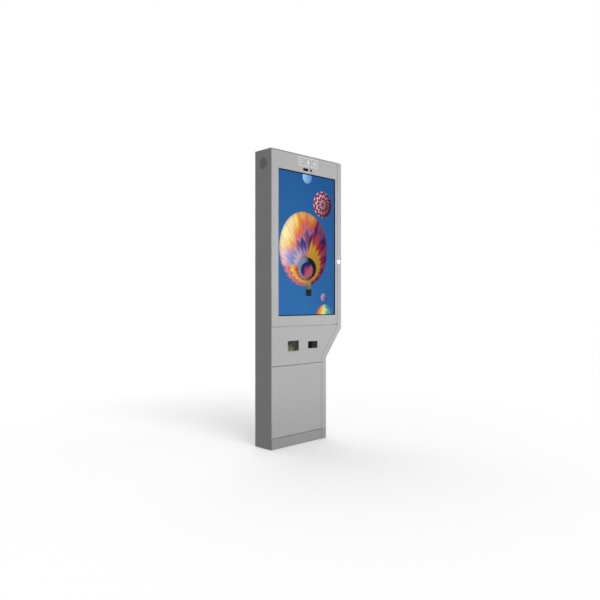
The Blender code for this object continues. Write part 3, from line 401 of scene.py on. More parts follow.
def clear_glass(name, box):
    """Toughened cover glass: a faint smear and the green of its edge."""
    f = Finish(name)
    smear = f.noise(0.12, 4.0).fade(0.45, 0.8)
    edge = f.edges(box, 0.002)
    tone = f.mix(edge * 0.7, (0.985, 0.995, 0.99), (0.45, 0.72, 0.62))
    f.relief((f.noise(0.3, 1.0), 0.00002))
    return f.set(Base_Color=tone, Roughness=0.012 + smear * 0.03, Transmission_Weight=1.0,
                 IOR=1.25)


def smoked(name, box, colour=WINDOW_BLACK):
    """Smoked window, glossy, with wiped smears."""
    f = Finish(name)
    wipe = f.noise(0.015, 4.0, stretch=(0.4, 1.0, 1.0))
    speck = f.noise(0.0012, 2.0).fade(0.66, 0.74)
    tone = f.mix(wipe * 0.6, colour, shade(colour, 2.4))
    tone = f.mix(speck * 0.03 + f.edges(box, 0.0006) * 0.06, tone, (0.12, 0.12, 0.12))
    f.relief((wipe, 0.000006))
    return f.set(Base_Color=tone, Roughness=0.06 + wipe * 0.10 + speck * 0.2,
                 Specular_IOR_Level=0.3)


def vinyl(name, box):
    """White cast vinyl of the printed sign."""
    f = Finish(name)
    grain = f.noise(0.0008, 2.0)
    age = f.noise(0.05, 3.0)
    tone = f.mix(age, (0.86, 0.86, 0.85), (0.93, 0.93, 0.93))
    tone = f.mix(f.edges(box, 0.0006) * 0.15, tone, (0.6, 0.6, 0.6))
    f.relief((grain, 0.000005))
    return f.set(Base_Color=tone, Roughness=0.30 + grain * 0.1 + age * 0.06)


# ---- the picture on the display ----
def wave(value):
    """A triangle wave from 0 to 1 over each unit."""
    return abs(value.math("FRACT") * 2.0 - 1.0)


def balloon_skin(u, v, mouth, gores):
    """Angle round a balloon's mouth in gores, and its share of the way out to the rim."""
    across = u - mouth[0]
    up = v - mouth[1]
    turn = up.math("ARCTAN2", across) / math.tau + 0.5
    reach = (across * across / mouth[2] ** 2 + up * up / mouth[3] ** 2) ** 0.5
    return turn * gores, reach


def big_balloon(f, u, v, sky):
    """Seen from below: gores fan out from the mouth, sewn in blocks that step at each gore."""
    across = (u + 0.034) / 0.246
    up = (v + 0.036) / 0.272
    out = (across * across + up * up) ** 0.5
    gore, reach = balloon_skin(u, v, (-0.004, -0.172, 0.094, 0.080), 26)
    beyond = (reach - 1.0).high(0.0)
    share = beyond / (beyond + (1 - out).high(0.001) * 2.3)
    blocks = 18.0
    step = (share * blocks + wave(gore) * 2.6 - 1.3).math("FLOOR") / blocks + 0.5 / blocks
    crown = [(0.0, (0.50, 0.04, 0.12)), (0.16, (0.62, 0.36, 0.58)), (0.26, (0.10, 0.12, 0.46)),
             (0.46, (0.02, 0.02, 0.20)), (0.54, (0.62, 0.30, 0.50)), (0.60, (0.84, 0.10, 0.08)),
             (0.74, (0.94, 0.34, 0.06)), (0.86, (0.96, 0.74, 0.14)), (1.0, (0.98, 0.88, 0.36))]
    dawn = [(0.0, (0.26, 0.30, 0.66)), (0.20, (0.56, 0.46, 0.74)), (0.34, (0.84, 0.50, 0.56)),
            (0.50, (0.90, 0.22, 0.14)), (0.62, (0.94, 0.52, 0.16)), (0.76, (0.97, 0.82, 0.34)),
            (1.0, (0.98, 0.92, 0.58))]
    top = [(0.0, (0.42, 0.01, 0.05)), (0.18, (0.62, 0.02, 0.06)), (0.34, (0.66, 0.03, 0.08)),
           (0.42, (0.02, 0.02, 0.16)), (0.62, (0.02, 0.02, 0.20)), (0.70, (0.40, 0.24, 0.48)),
           (0.76, (0.80, 0.08, 0.08)), (0.90, (0.90, 0.25, 0.04)), (1.0, (0.96, 0.60, 0.10))]
    right = [(0.0, (0.82, 0.42, 0.01)), (0.42, (0.88, 0.52, 0.01)), (0.50, (0.80, 0.20, 0.02)),
             (0.56, (0.64, 0.02, 0.03)), (0.72, (0.58, 0.01, 0.05)), (0.80, (0.03, 0.02, 0.16)),
             (0.90, (0.05, 0.03, 0.20)), (0.95, (0.50, 0.02, 0.07)), (1.0, (0.30, 0.03, 0.12))]
    left = [(0.0, (0.30, 0.40, 0.55)), (0.20, (0.66, 0.58, 0.74)), (0.40, (0.20, 0.27, 0.66)),
            (0.62, (0.34, 0.38, 0.76)), (0.74, (0.70, 0.52, 0.72)), (0.84, (0.86, 0.62, 0.66)),
            (1.0, (0.80, 0.40, 0.46))]
    low = [(0.0, (0.66, 0.04, 0.04)), (0.22, (0.80, 0.08, 0.06)), (0.34, (0.92, 0.46, 0.05)),
           (0.52, (0.94, 0.74, 0.08)), (0.66, (0.82, 0.12, 0.10)), (0.84, (0.72, 0.30, 0.36)),
           (1.0, (0.18, 0.16, 0.42))]
    skin = f.mix((across + up * 0.25).fade(-0.34, -0.22), f.ramp(step, dawn),
                 f.ramp(step, crown))
    skin = f.mix((across * 0.8 + up * 0.5).fade(0.12, 0.28), skin, f.ramp(step, top))
    skin = f.mix((across - up * 0.42).fade(0.16, 0.24), skin, f.ramp(step, right))
    skin = f.mix((1 - across.fade(-0.16, -0.06)) * (1 - up.fade(-0.16, 0.10)), skin,
                 f.ramp(step, left))
    skin = f.mix((0 - up).fade(0.38, 0.50) * (1 - across.fade(0.22, 0.34)), skin,
                 f.ramp(step, low))
    pale = gore.math("FLOORED_MODULO", 2.0) > 1.0
    skin = f.mix(pale * 0.22, skin, (0.86, 0.30, 0.28))
    seam = 1 - wave(gore + 0.5).fade(0.0, 0.10)
    skin = f.mix(seam * 0.5, skin, (0.10, 0.02, 0.08))
    tape = 1 - wave(share * (blocks / 2)).fade(0.0, 0.08)
    skin = f.mix(tape * 0.25, skin, (0.12, 0.03, 0.10))
    light = (up * 0.25 - across * 0.9).fade(-0.9, 1.1)
    skin = f.mix(1.0, skin, f.mix(light, (0.46, 0.46, 0.54), (1.12, 1.08, 1.0)), "MULTIPLY")
    skin = f.mix(out.fade(0.88, 1.0) * 0.30, skin, (0.08, 0.03, 0.12))
    cuff = f.mix((u * 9.0 + 0.5).fade(0.15, 0.70), (0.16, 0.26, 0.36), (0.002, 0.010, 0.020))
    skin = f.mix(1 - reach.fade(0.98, 1.03), skin, cuff)
    inner, depth = balloon_skin(u, v, (-0.006, -0.186, 0.062, 0.058), 20)
    throat = f.ramp(depth + wave(inner) * 0.2,
                    [(0.0, (0.20, 0.03, 0.10)), (0.40, (0.42, 0.04, 0.08)),
                     (0.62, (0.04, 0.02, 0.16)), (1.0, (0.01, 0.01, 0.08))])
    side = (u * 8.0 - v * 8.0 - 1.45 + wave(inner) * 0.15).fade(-0.1, 0.35)
    warm = f.mix(side, throat, f.mix(wave(inner), (0.34, 0.03, 0.07), (0.50, 0.16, 0.20)))
    skin = f.mix(1 - depth.fade(0.94, 1.04), skin, warm)
    return f.mix(1 - out.fade(0.985, 1.005), sky, skin)


def basket(f, u, v, sky):
    """The wicker basket on its lines under the mouth."""
    aside = abs(u - BASKET_X)
    lines = (abs(aside - 0.016 - (v + 0.30) * 0.18) < 0.0018) * (abs(v + 0.30) < 0.045)
    sky = f.mix(lines, sky, (0.10, 0.05, 0.04))
    spread = (aside - (0.30 + v) * 0.1) < 0.020
    tie = spread * (abs(v + 0.298) < 0.036)
    skirt = f.mix(wave(u * 60.0), (0.45, 0.34, 0.03), (0.10, 0.20, 0.08))
    sky = f.mix(tie, sky, f.mix((v + 0.32).fade(-0.02, 0.05), (0.10, 0.13, 0.04), skirt))
    box = (aside < 0.029) * (abs(v + 0.350) < 0.024)
    weave = wave(v * 160.0) * 0.5 + wave(u * 160.0) * 0.5
    return f.mix(box, sky, f.mix(weave, (0.006, 0.005, 0.010), (0.050, 0.030, 0.025)))


def small_balloon(f, u, v, sky, place, size, gores, stops, dark):
    """A distant balloon: rings of colour that alternate from gore to gore."""
    across = (u - place[0]) / size
    up = (v - place[1]) / size
    out = (across * across + up * up) ** 0.5
    turn = (up + 0.15).math("ARCTAN2", across - 0.15) * (gores / math.tau)
    ring = (out * 2.6 + wave(turn) * 0.55).math("FRACT")
    checks = f.ramp(ring, stops)
    light = (0 - across * 0.9 + up * 0.3).fade(-0.9, 0.9)
    skin = f.mix(1.0, checks, f.mix(light, dark, (1.1, 1.1, 1.1)), "MULTIPLY")
    return f.mix(1 - out.fade(0.96, 1.02), sky, skin)


def low_balloon(f, u, v, sky):
    """The crown of a balloon cut off by the picture's lower edge: upright gores."""
    across = (u - 0.184) / 0.100
    up = (v + 0.535) / 0.100
    out = (across * across + up * up) ** 0.5
    bow = (across / (1.02 - (up * up).low(0.99)) ** 0.5) * 0.5 + 0.5
    stops = [(0.0, (0.70, 0.05, 0.03)), (0.18, (0.90, 0.30, 0.04)), (0.34, (0.95, 0.70, 0.15)),
             (0.50, (0.80, 0.80, 0.30)), (0.62, (0.10, 0.48, 0.42)), (0.80, (0.04, 0.30, 0.46)),
             (1.0, (0.03, 0.14, 0.36))]
    skin = f.ramp((bow + wave(out * 2.4) * 0.14 - 0.07).high(0.0), stops)
    skin = f.mix((1 - wave(bow * 12.0).fade(0.0, 0.2)) * 0.4, skin, (0.05, 0.05, 0.10))
    skin = f.mix(out.fade(0.55, 1.0) * 0.45, skin, (0.10, 0.10, 0.22))
    return f.mix(1 - out.fade(0.96, 1.02), sky, skin)


def lit_picture(name, middle):
    """The picture: hot-air balloons on a blue sky, inside a thin black border."""
    f = Finish(name)
    u = f.x - middle[0]
    v = f.z - middle[2]
    haze = f.noise(0.5, 2.0)
    sky = f.ramp(v / PICTURE_HIGH + 0.5, [(0.0, (0.030, 0.156, 0.425)),
                                          (0.5, (0.028, 0.136, 0.370)),
                                          (1.0, (0.016, 0.104, 0.315))])
    sky = f.mix((u / PICTURE_WIDE + 0.5).fade(0.3, 1.0) * 0.30, sky, (0.004, 0.052, 0.200))
    sky = f.mix(haze * 0.08, sky, (0.040, 0.180, 0.450))
    red_white = [(0.0, (0.70, 0.60, 0.66)), (0.18, (0.55, 0.20, 0.26)), (0.26, (0.26, 0.01, 0.03)),
                 (0.60, (0.20, 0.02, 0.06)), (0.74, (0.48, 0.14, 0.20)), (1.0, (0.80, 0.72, 0.78))]
    pale = [(0.0, (0.22, 0.48, 0.78)), (0.5, (0.38, 0.60, 0.85)), (1.0, (0.16, 0.38, 0.70))]
    mixed = [(0.0, (0.70, 0.72, 0.82)), (0.5, (0.16, 0.22, 0.55)), (1.0, (0.45, 0.05, 0.10))]
    sky = small_balloon(f, u, v, sky, (0.160, 0.308), 0.098, 14, red_white, (0.20, 0.08, 0.14))
    sky = small_balloon(f, u, v, sky, (-0.004, 0.492), 0.047, 10, pale, (0.45, 0.60, 0.75))
    sky = small_balloon(f, u, v, sky, (0.171, -0.384), 0.032, 10, mixed, (0.35, 0.20, 0.35))
    sky = low_balloon(f, u, v, sky)
    sky = big_balloon(f, u, v, sky)
    sky = basket(f, u, v, sky)
    inside = (abs(u) < PICTURE_WIDE / 2) * (abs(v) < PICTURE_HIGH / 2)
    fleck = f.noise(0.0009, 1.0)
    f.relief((fleck, 0.000002))
    return f.set(Base_Color=f.mix(fleck, (0.006, 0.006, 0.007), (0.012, 0.012, 0.013)),
                 Roughness=0.7 + fleck * 0.1, Specular_IOR_Level=0.1, Emission_Strength=1.0,
                 Emission_Color=f.mix(inside, (0.003, 0.003, 0.004), sky))


# ---- makers ----
def soften(made, width, segments=2):
    """Round every edge that turns sharply."""
    sharp = [e for e in made.edges if e.is_manifold and e.calc_face_angle(0.0) > SHARP_TURN]
    bmesh.ops.bevel(made, geom=sharp, offset=width, offset_type="OFFSET", affect="EDGES",
                    segments=segments, profile=0.5, clamp_overlap=True, material=-1)


def rounded_box(low, high, width, segments=3):
    made = bmesh.new()
    bmesh.ops.create_cube(made, size=1.0)
    low, high = Vector(low), Vector(high)
    bmesh.ops.scale(made, vec=high - low, verts=made.verts)
    bmesh.ops.translate(made, vec=(low + high) / 2, verts=made.verts)
    soften(made, width, segments)
    return made


def turned(profile, axis, centre, steps=48):
    """A profile of (radius, place along the axis) spun right round; it starts at the lower
    end of the outline and both ends may lie on the axis."""
    made = bmesh.new()
    points = [made.verts.new((radius, 0.0, along)) for radius, along in profile]
    edges = [made.edges.new(pair) for pair in zip(points, points[1:])]
    if profile[0][0] > 0.0 and profile[-1][0] > 0.0:
        edges.append(made.edges.new((points[-1], points[0])))
    bmesh.ops.spin(made, geom=points + edges, cent=(0, 0, 0), axis=(0, 0, 1),
                   angle=math.tau, steps=steps, use_merge=True)
    bmesh.ops.remove_doubles(made, verts=made.verts, dist=1e-7)
    bmesh.ops.recalc_face_normals(made, faces=made.faces)
    turn = {"x": Matrix.Rotation(math.pi / 2, 4, "Y"),
            "y": Matrix.Rotation(-math.pi / 2, 4, "X"),
            "z": Matrix.Identity(4)}[axis]
    bmesh.ops.transform(made, matrix=Matrix.Translation(centre) @ turn, verts=made.verts)
    return made


def add(into, other):
    """Put one bmesh into another as a separate shell."""
    mesh = bpy.data.meshes.new("part")
    other.to_mesh(mesh)
    other.free()
    into.from_mesh(mesh)
    bpy.data.meshes.remove(mesh)
    return into


def piece(name, made, body, look, stands_for=(), smooth=40.0):
    """A finished piece: shaded, given its finish, and riding on its body."""
    mesh = bpy.data.meshes.new(name)
    made.to_mesh(mesh)
    made.free()
    mesh.shade_smooth()
    mesh.set_sharp_from_angle(angle=math.radians(smooth))
    obj = bpy.data.objects.new(name, mesh)
    bpy.context.collection.objects.link(obj)
    weighted = obj.modifiers.new("even_shading", "WEIGHTED_NORMAL")
    weighted.keep_sharp = True
    if callable(look):
        corners = [vertex.co for vertex in mesh.vertices]
        low = tuple(min(c[i] for c in corners) for i in range(3))
        high = tuple(max(c[i] for c in corners) for i in range(3))
        look = look(f"{name}_finish", (low, high))
    mesh.materials.append(look)
    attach(obj, body)
    if stands_for:
        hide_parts(*stands_for)


def finished(node, look, width, segments=2):
    """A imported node's own shape, its flat faces made whole again and its edges eased."""
    made = bmesh.new()
    made.from_mesh(NODES[node].data)
    bmesh.ops.remove_doubles(made, verts=made.verts, dist=1e-6)
    bmesh.ops.dissolve_limit(made, angle_limit=math.radians(0.3), verts=made.verts,
                             edges=made.edges)
    soften(made, width, segments)
    piece(f"{node}_finished", made, BODY_OF[node], look, (node,))


def flat_shape(outlines, centre, thickness, back_y):
    """Flat outlines in X and Z, filled (an outline inside another is a hole), facing front."""
    curve = bpy.data.curves.new("outline", "CURVE")
    curve.dimensions = "2D"
    curve.fill_mode = "BOTH"
    curve.extrude = thickness / 2
    for outline in outlines:
        spline = curve.splines.new("POLY")
        spline.points.add(len(outline) - 1)
        for point, (x, z) in zip(spline.points, outline):
            point.co = (x, z, 0.0, 1.0)
        spline.use_cyclic_u = True
    holder = bpy.data.objects.new("outline", curve)
    bpy.context.collection.objects.link(holder)
    bpy.context.view_layer.update()
    mesh = bpy.data.meshes.new_from_object(holder)
    made = bmesh.new()
    made.from_mesh(mesh)
    bpy.data.objects.remove(holder)
    bpy.data.curves.remove(curve)
    bpy.data.meshes.remove(mesh)
    bmesh.ops.remove_doubles(made, verts=made.verts, dist=1e-7)
    turn = Matrix.Rotation(math.pi / 2, 4, "X")
    place = Vector((centre[0], back_y - thickness / 2, centre[1]))
    bmesh.ops.transform(made, matrix=Matrix.Translation(place) @ turn, verts=made.verts)
    bmesh.ops.recalc_face_normals(made, faces=made.faces)
    return made


def arc(centre, radius, start, end, steps):
    """Points along an arc, angles in degrees."""
    angles = [math.radians(start + (end - start) * i / steps) for i in range(steps + 1)]
    return [(centre[0] + radius * math.cos(a), centre[1] + radius * math.sin(a))
            for a in angles]


def round_rect(left, low, right, high, radius, steps=5):
    return (arc((right - radius, low + radius), radius, -90, 0, steps)
            + arc((right - radius, high - radius), radius, 0, 90, steps)
            + arc((left + radius, high - radius), radius, 90, 180, steps)
            + arc((left + radius, low + radius), radius, 180, 270, steps))


# ---- cabinet and doors ----
def make_steelwork():
    for node in ("cabinet_shell", "rear_panel", "plinth_cover", "display_door",
                 "service_door", "lower_door"):
        finished(node, powder_coat, FOLD)
    for node in ("upper_rail", "middle_rail", "sill_rail", "panel_bar_lower",
                 "panel_bar_upper", "printer_shelf", "roll_holder", "base_plate",
                 "display_door_strike", "service_bolt_guide", "lower_bolt_guide",
                 "service_door_bolt", "lower_door_bolt", "lock_cam", "lock_nut",
                 "top_pivot", "upper_pivot", "middle_pivot", "sill_pivot"):
        finished(node, zinc, SMALL_EDGE)


def make_screw(made, place, facing, radius, proud=SCREW_PROUD):
    """A low button head with a hexagon socket, facing along Y."""
    profile = [(0.0, 0.0), (radius, 0.0), (radius * 0.98, proud * 0.45), (radius * 0.8, proud),
               (radius * 0.52, proud), (radius * 0.50, proud * 0.25), (0.0, proud * 0.25)]
    if facing < 0:
        profile = [(r, -along) for r, along in profile]
    return add(made, turned(profile, "y", place, 12))


def corner_screws(name, body, corners, inset, y, facing, radius):
    """A screw in each corner of a box's face at y."""
    low, high = corners
    heads = bmesh.new()
    for x in (low.x + inset, high.x - inset):
        for z in (low.z + inset, high.z - inset):
            make_screw(heads, (x, y, z), facing, radius)
    piece(name, heads, body, plated)


def make_rear_screws():
    """Button-head screws that hold the rear panel to the shell's flanges."""
    low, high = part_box("rear_panel")
    heads = bmesh.new()
    inset = 0.014
    rows = 8
    places = []
    for row in range(rows):
        z = low.z + inset + (high.z - low.z - 2 * inset) * row / (rows - 1)
        right = high.x if z > STEP_LEVEL else PEDESTAL_RIGHT
        places += [(low.x + inset, z), (right - inset, z)]
    places += [(-0.12, high.z - inset), (0.12, high.z - inset)]
    for x, z in places:
        make_screw(heads, (x, high.y, z), 1, 0.0045, 0.0016)
    piece("rear_panel_screws", heads, "cabinet", plated)


# ---- sign on the display door ----
def ticket_outline(width, height, radius, notch, cuts):
    """A ticket's outline with a round notch above and below each of its cuts."""
    half_w, half_h = width / 2, height / 2
    points = arc((half_w - radius, -half_h + radius), radius, -90, 0, 6)
    points += arc((half_w - radius, half_h - radius), radius, 0, 90, 6)
    for x in sorted(cuts, reverse=True):
        points += arc((x, half_h), notch, 0, -180, 8)
    points += arc((-half_w + radius, half_h - radius), radius, 90, 180, 6)
    points += arc((-half_w + radius, -half_h + radius), radius, 180, 270, 6)
    for x in sorted(cuts):
        points += arc((x, -half_h), notch, 180, 0, 8)
    return points


def make_sign():
    """A strip of three tickets with tear-off dashes between them, each with a plain mark."""
    door_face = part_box("display_door")[0].y
    low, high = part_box("display_glass")
    middle = ((low.x + high.x) / 2, SIGN_LEVEL)
    width, height, line = 0.196, 0.062, 0.0036
    cuts = (-width / 6, width / 6)
    outer = ticket_outline(width, height, 0.007, 0.0055, cuts)
    inner = ticket_outline(width - 2 * line, height - 2 * line, 0.0045, 0.0065, cuts)
    shapes = [outer, inner]
    for x in cuts:
        for dash in range(-2, 3):
            z = dash * 0.0088
            shapes.append(round_rect(x - 0.0013, z - 0.0024, x + 0.0013, z + 0.0024, 0.0009, 2))
    lines_left = -width / 3 - 0.017
    for row, long in ((0.011, 0.026), (0.0, 0.034), (-0.011, 0.020)):
        shapes.append(round_rect(lines_left, row - 0.0018, lines_left + long, row + 0.0018,
                                 0.0012, 2))
    arrow = [(-0.0045, 0.018), (-0.0045, -0.002), (-0.0135, -0.002), (0.0, -0.019),
             (0.0135, -0.002), (0.0045, -0.002), (0.0045, 0.018)]
    shapes.append(arrow)
    for radius, last, steps in ((0.0155, 345, 23), (0.0120, 345, 23), (0.0045, 330, 11)):
        shapes.append(arc((width / 3, 0.0), radius, 0, last, steps))
    sign = flat_shape(shapes, middle, SIGN_PROUD, door_face)
    piece("ticket_sign", sign, "display_door", vinyl)


# ---- display ----
def make_display():
    finished("display_glass", clear_glass, 0.0006)
    finished("display_gasket", foam, 0.0002, 1)
    low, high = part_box("display_panel")
    skin = 0.0003
    case = rounded_box((low.x, low.y + 2 * skin, low.z), high, 0.0015)
    piece("display_panel_case", case, "display_door", dark_metal,
          ("display_panel",))
    picture = rounded_box((low.x + 0.0005, low.y, low.z + 0.0005),
                          (high.x - 0.0005, low.y + skin, high.z - 0.0005), 0.0001, 1)
    piece("display_picture", picture, "display_door",
          lit_picture("lit_picture", (low + high) / 2))
    make_driver_box()


def make_driver_box():
    """Folded box on the panel's back, with a pressed lid and its screws."""
    low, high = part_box("display_driver_box")
    box = rounded_box(low, (high.x, high.y - 0.002, high.z), 0.0012)
    inset = 0.012
    lid = rounded_box((low.x + inset, high.y - 0.0022, low.z + inset),
                      (high.x - inset, high.y, high.z - inset), 0.0009)
    piece("driver_box_lid", add(box, lid), "display_door", zinc,
          ("display_driver_box",))
    corner_screws("driver_box_screws", "display_door", (low, high), 0.006, high.y - 0.002, 1,
                  0.003)


def make_camera():
    """The camera and the sensor behind their smoked windows."""
    finished("camera_window", smoked, 0.0003)
    finished("sensor_window", smoked, 0.0003)
    finished("camera_module", black_plastic, 0.0012, 3)
    low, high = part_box("camera_window")
    z = (low.z + high.z) / 2
    lens_place = (low.x + 0.019, low.y, z)
    ring = turned([(0.0050, 0.0), (0.0068, 0.0), (0.0070, -0.0001), (0.0068, -0.0002),
                   (0.0054, -0.0002), (0.0050, -0.0001)], "y", lens_place)
    piece("camera_lens_ring", ring, "display_door", dark_metal)
    lens = turned([(0.0, 0.0), (0.0048, 0.0), (0.0046, -0.00008), (0.0030, -0.00018),
                   (0.0, -0.00022)], "y", lens_place)
    piece("camera_lens", lens, "display_door",
          settled(smoked, colour=(0.010, 0.006, 0.022)))
    lamps = bmesh.new()
    for x in (high.x - 0.020, high.x - 0.012):
        add(lamps, turned([(0.0, 0.0), (0.0018, 0.0), (0.0015, -0.00015), (0.0, -0.0002)], "y",
                          (x, low.y, z), 20))
    piece("camera_lamps", lamps, "display_door",
          settled(smoked, colour=(0.030, 0.004, 0.006)))


# ---- loudspeaker ----
def make_grille():
    """Perforated disc: six-sided holes in a sheet, inside a plain rim."""
    low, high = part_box("speaker_grille")
    middle = (low + high) / 2
    radius = (high.z - low.z) / 2
    plate = bmesh.new()
    cell_r = CELL_PITCH / math.sqrt(3)
    rows = int(radius / (CELL_PITCH * 0.866)) + 1
    for row in range(-rows, rows + 1):
        for column in range(-rows - 2, rows + 3):
            y = (column + (row % 2) / 2) * CELL_PITCH
            z = row * cell_r * 1.5
            if math.hypot(y, z) > radius - 0.0035:
                continue
            bmesh.ops.create_circle(plate, cap_ends=True, radius=cell_r, segments=6,
                                    matrix=Matrix.Translation((y, z, 0.0)))
    bmesh.ops.remove_doubles(plate, verts=plate.verts, dist=CELL_BAR / 6)
    bmesh.ops.recalc_face_normals(plate, faces=plate.faces)
    cells = list(plate.faces)
    bmesh.ops.inset_individual(plate, faces=cells, thickness=CELL_BAR / 2)
    bmesh.ops.delete(plate, geom=cells, context="FACES_ONLY")
    grown = bmesh.ops.extrude_face_region(plate, geom=list(plate.faces))
    lifted = [item for item in grown["geom"] if isinstance(item, bmesh.types.BMVert)]
    bmesh.ops.translate(plate, vec=(0, 0, GRILLE_THICK), verts=lifted)
    bmesh.ops.recalc_face_normals(plate, faces=plate.faces)
    turn = Matrix(((0, 0, -1, 0), (1, 0, 0, 0), (0, 1, 0, 0), (0, 0, 0, 1)))
    place = Matrix.Translation((high.x - 0.0001, middle.y, middle.z))
    bmesh.ops.transform(plate, matrix=place @ turn, verts=plate.verts)
    bmesh.ops.recalc_face_normals(plate, faces=plate.faces)
    rim = turned([(radius - 0.0052, low.x + 0.0005), (radius - 0.0044, low.x),
                  (radius - 0.0006, low.x), (radius, low.x + 0.0005), (radius, high.x),
                  (radius - 0.0052, high.x)], "x", (0, middle.y, middle.z), 64)
    piece("speaker_grille_mesh", add(plate, rim), "cabinet",
          settled(powder_coat, level=0.84), ("speaker_grille",), 30.0)
    finished("speaker_driver", black_plastic, 0.0004)


# ---- service door ----
def make_outlet():
    finished("ticket_chute", olive_plastic, 0.0005)
    finished("outlet_flap", clear_plastic, 0.0003)
    finished("outlet_flap_pin", brushed, 0.0002)


def make_reader():
    """Reader behind the door: a black scanning window beside a ribbed contactless pad."""
    low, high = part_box("reader_window")
    split = low.x + (high.x - low.x) * 0.42
    rim = READER_RIM
    middle = ((low.x + high.x) / 2, (low.z + high.z) / 2)
    half_w, half_h = (high.x - low.x) / 2, (high.z - low.z) / 2
    bar = split - middle[0]
    outer = round_rect(-half_w, -half_h, half_w, half_h, 0.0012, 4)
    holes = [round_rect(left, -half_h + rim, right, half_h - rim, 0.0015, 4)
             for left, right in ((-half_w + rim, bar - rim / 2), (bar + rim / 2, half_w - rim))]
    bezel = flat_shape([outer, *holes], middle, high.y - low.y, high.y)
    soften(bezel, 0.0002)
    piece("reader_bezel", bezel, "service_door",
          settled(moulded, colour=(0.005, 0.005, 0.0055), rough=0.5, dusty=0.01),
          ("reader_window",))
    pane = rounded_box((low.x + rim * 0.8, low.y + 0.0005, low.z + rim * 0.8),
                       (split - rim * 0.3, high.y - 0.0001, high.z - rim * 0.8), 0.0003)
    piece("scanner_pane", pane, "service_door", smoked)
    pad = rounded_box((split + rim * 0.3, low.y + 0.0007, low.z + rim * 0.8),
                      (high.x - rim * 0.8, high.y - 0.0001, high.z - rim * 0.8), 0.0003)
    centre = ((split + high.x) / 2 - rim / 2, low.y + 0.0007, middle[1])
    for radius in (0.0060, 0.0105, 0.0150, 0.0195):
        add(pad, turned([(radius - 0.0007, 0.0001), (radius - 0.0005, -0.0003),
                         (radius + 0.0005, -0.0003), (radius + 0.0007, 0.0001)], "y", centre))
    piece("contactless_pad", pad, "service_door",
          settled(moulded, colour=(0.007, 0.007, 0.0075), rough=0.5, dusty=0.01))
    finished("reader_body", black_plastic, 0.0012, 3)


# ---- lock ----
def make_lock():
    """Cam lock: a barrel with a domed rim, and a plug with a keyway."""
    finished("lock_barrel", plated, 0.0011, 4)
    finished("lock_plug", plated, 0.0003)


# ---- printer ----
def make_printer():
    finished("printer_chassis", dark_metal, 0.0004)
    finished("print_head", dark_metal, 0.0006)
    finished("platen_gear_shaft", nylon, 0.00012, 1)
    finished("platen_roller", rubber, 0.0004)
    finished("motor_pinion", brass, 0.00010, 1)
    finished("paper_roll", paper, 0.0006)
    finished("roll_spindle", brushed, 0.0006)
    finished("cutter_blade", brushed, 0.0002)
    finished("head_lever", green_plastic, 0.0008, 3)
    make_feed_motor()


def make_feed_motor():
    """Stepper motor: a can with a shallow band between its end caps."""
    low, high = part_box("feed_motor")
    radius = (high.z - low.z) / 2
    centre = (0, (low.y + high.y) / 2, (low.z + high.z) / 2)
    can = [(0.0, low.x), (radius - 0.0006, low.x), (radius, low.x + 0.0006),
           (radius, low.x + 0.004), (radius - 0.0005, low.x + 0.0044),
           (radius - 0.0005, high.x - 0.0046), (radius, high.x - 0.0042),
           (radius, high.x - 0.0006), (radius - 0.0006, high.x), (0.004, high.x),
           (0.0036, high.x - 0.0005), (0.0, high.x - 0.0005)]
    piece("feed_motor_can", turned(can, "x", centre), "cabinet", dark_metal,
          ("feed_motor",))


# ---- fans ----
def make_fans():
    for number in (1, 2):
        finished(f"fan_frame_{number}", black_plastic, 0.0006)
        finished(f"fan_rotor_{number}", black_plastic, 0.0003)


# ---- electrical boxes ----
def make_controller():
    """Fanless computer: ribbed aluminium front, end plates and a row of sockets below."""
    low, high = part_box("controller_box")
    box = rounded_box((low.x, low.y + RIB_DEEP, low.z), high, 0.0015)
    ribs = 22
    pitch = (high.x - low.x - 0.012) / ribs
    for rib in range(ribs):
        x = low.x + 0.006 + (rib + 0.5) * pitch
        add(box, rounded_box((x - pitch * 0.22, low.y, low.z + 0.004),
                             (x + pitch * 0.22, low.y + RIB_DEEP + 0.0005, high.z - 0.004),
                             0.0006, 2))
    piece("controller_ribs", box, "cabinet", box_metal, ("controller_box",))
    sockets = bmesh.new()
    y = (low.y + high.y) / 2 + 0.004
    for x, wide, tall in ((-0.085, 0.016, 0.012), (-0.058, 0.016, 0.012), (-0.030, 0.013, 0.006),
                          (-0.010, 0.013, 0.006), (0.014, 0.015, 0.008), (0.046, 0.030, 0.009),
                          (0.084, 0.010, 0.010)):
        mid = (low.x + high.x) / 2 + x
        add(sockets, rounded_box((mid - wide / 2, y - tall / 2, low.z - 0.0012),
                                 (mid + wide / 2, y + tall / 2, low.z + 0.003), 0.0005, 2))
    piece("controller_sockets", sockets, "cabinet", black_plastic)


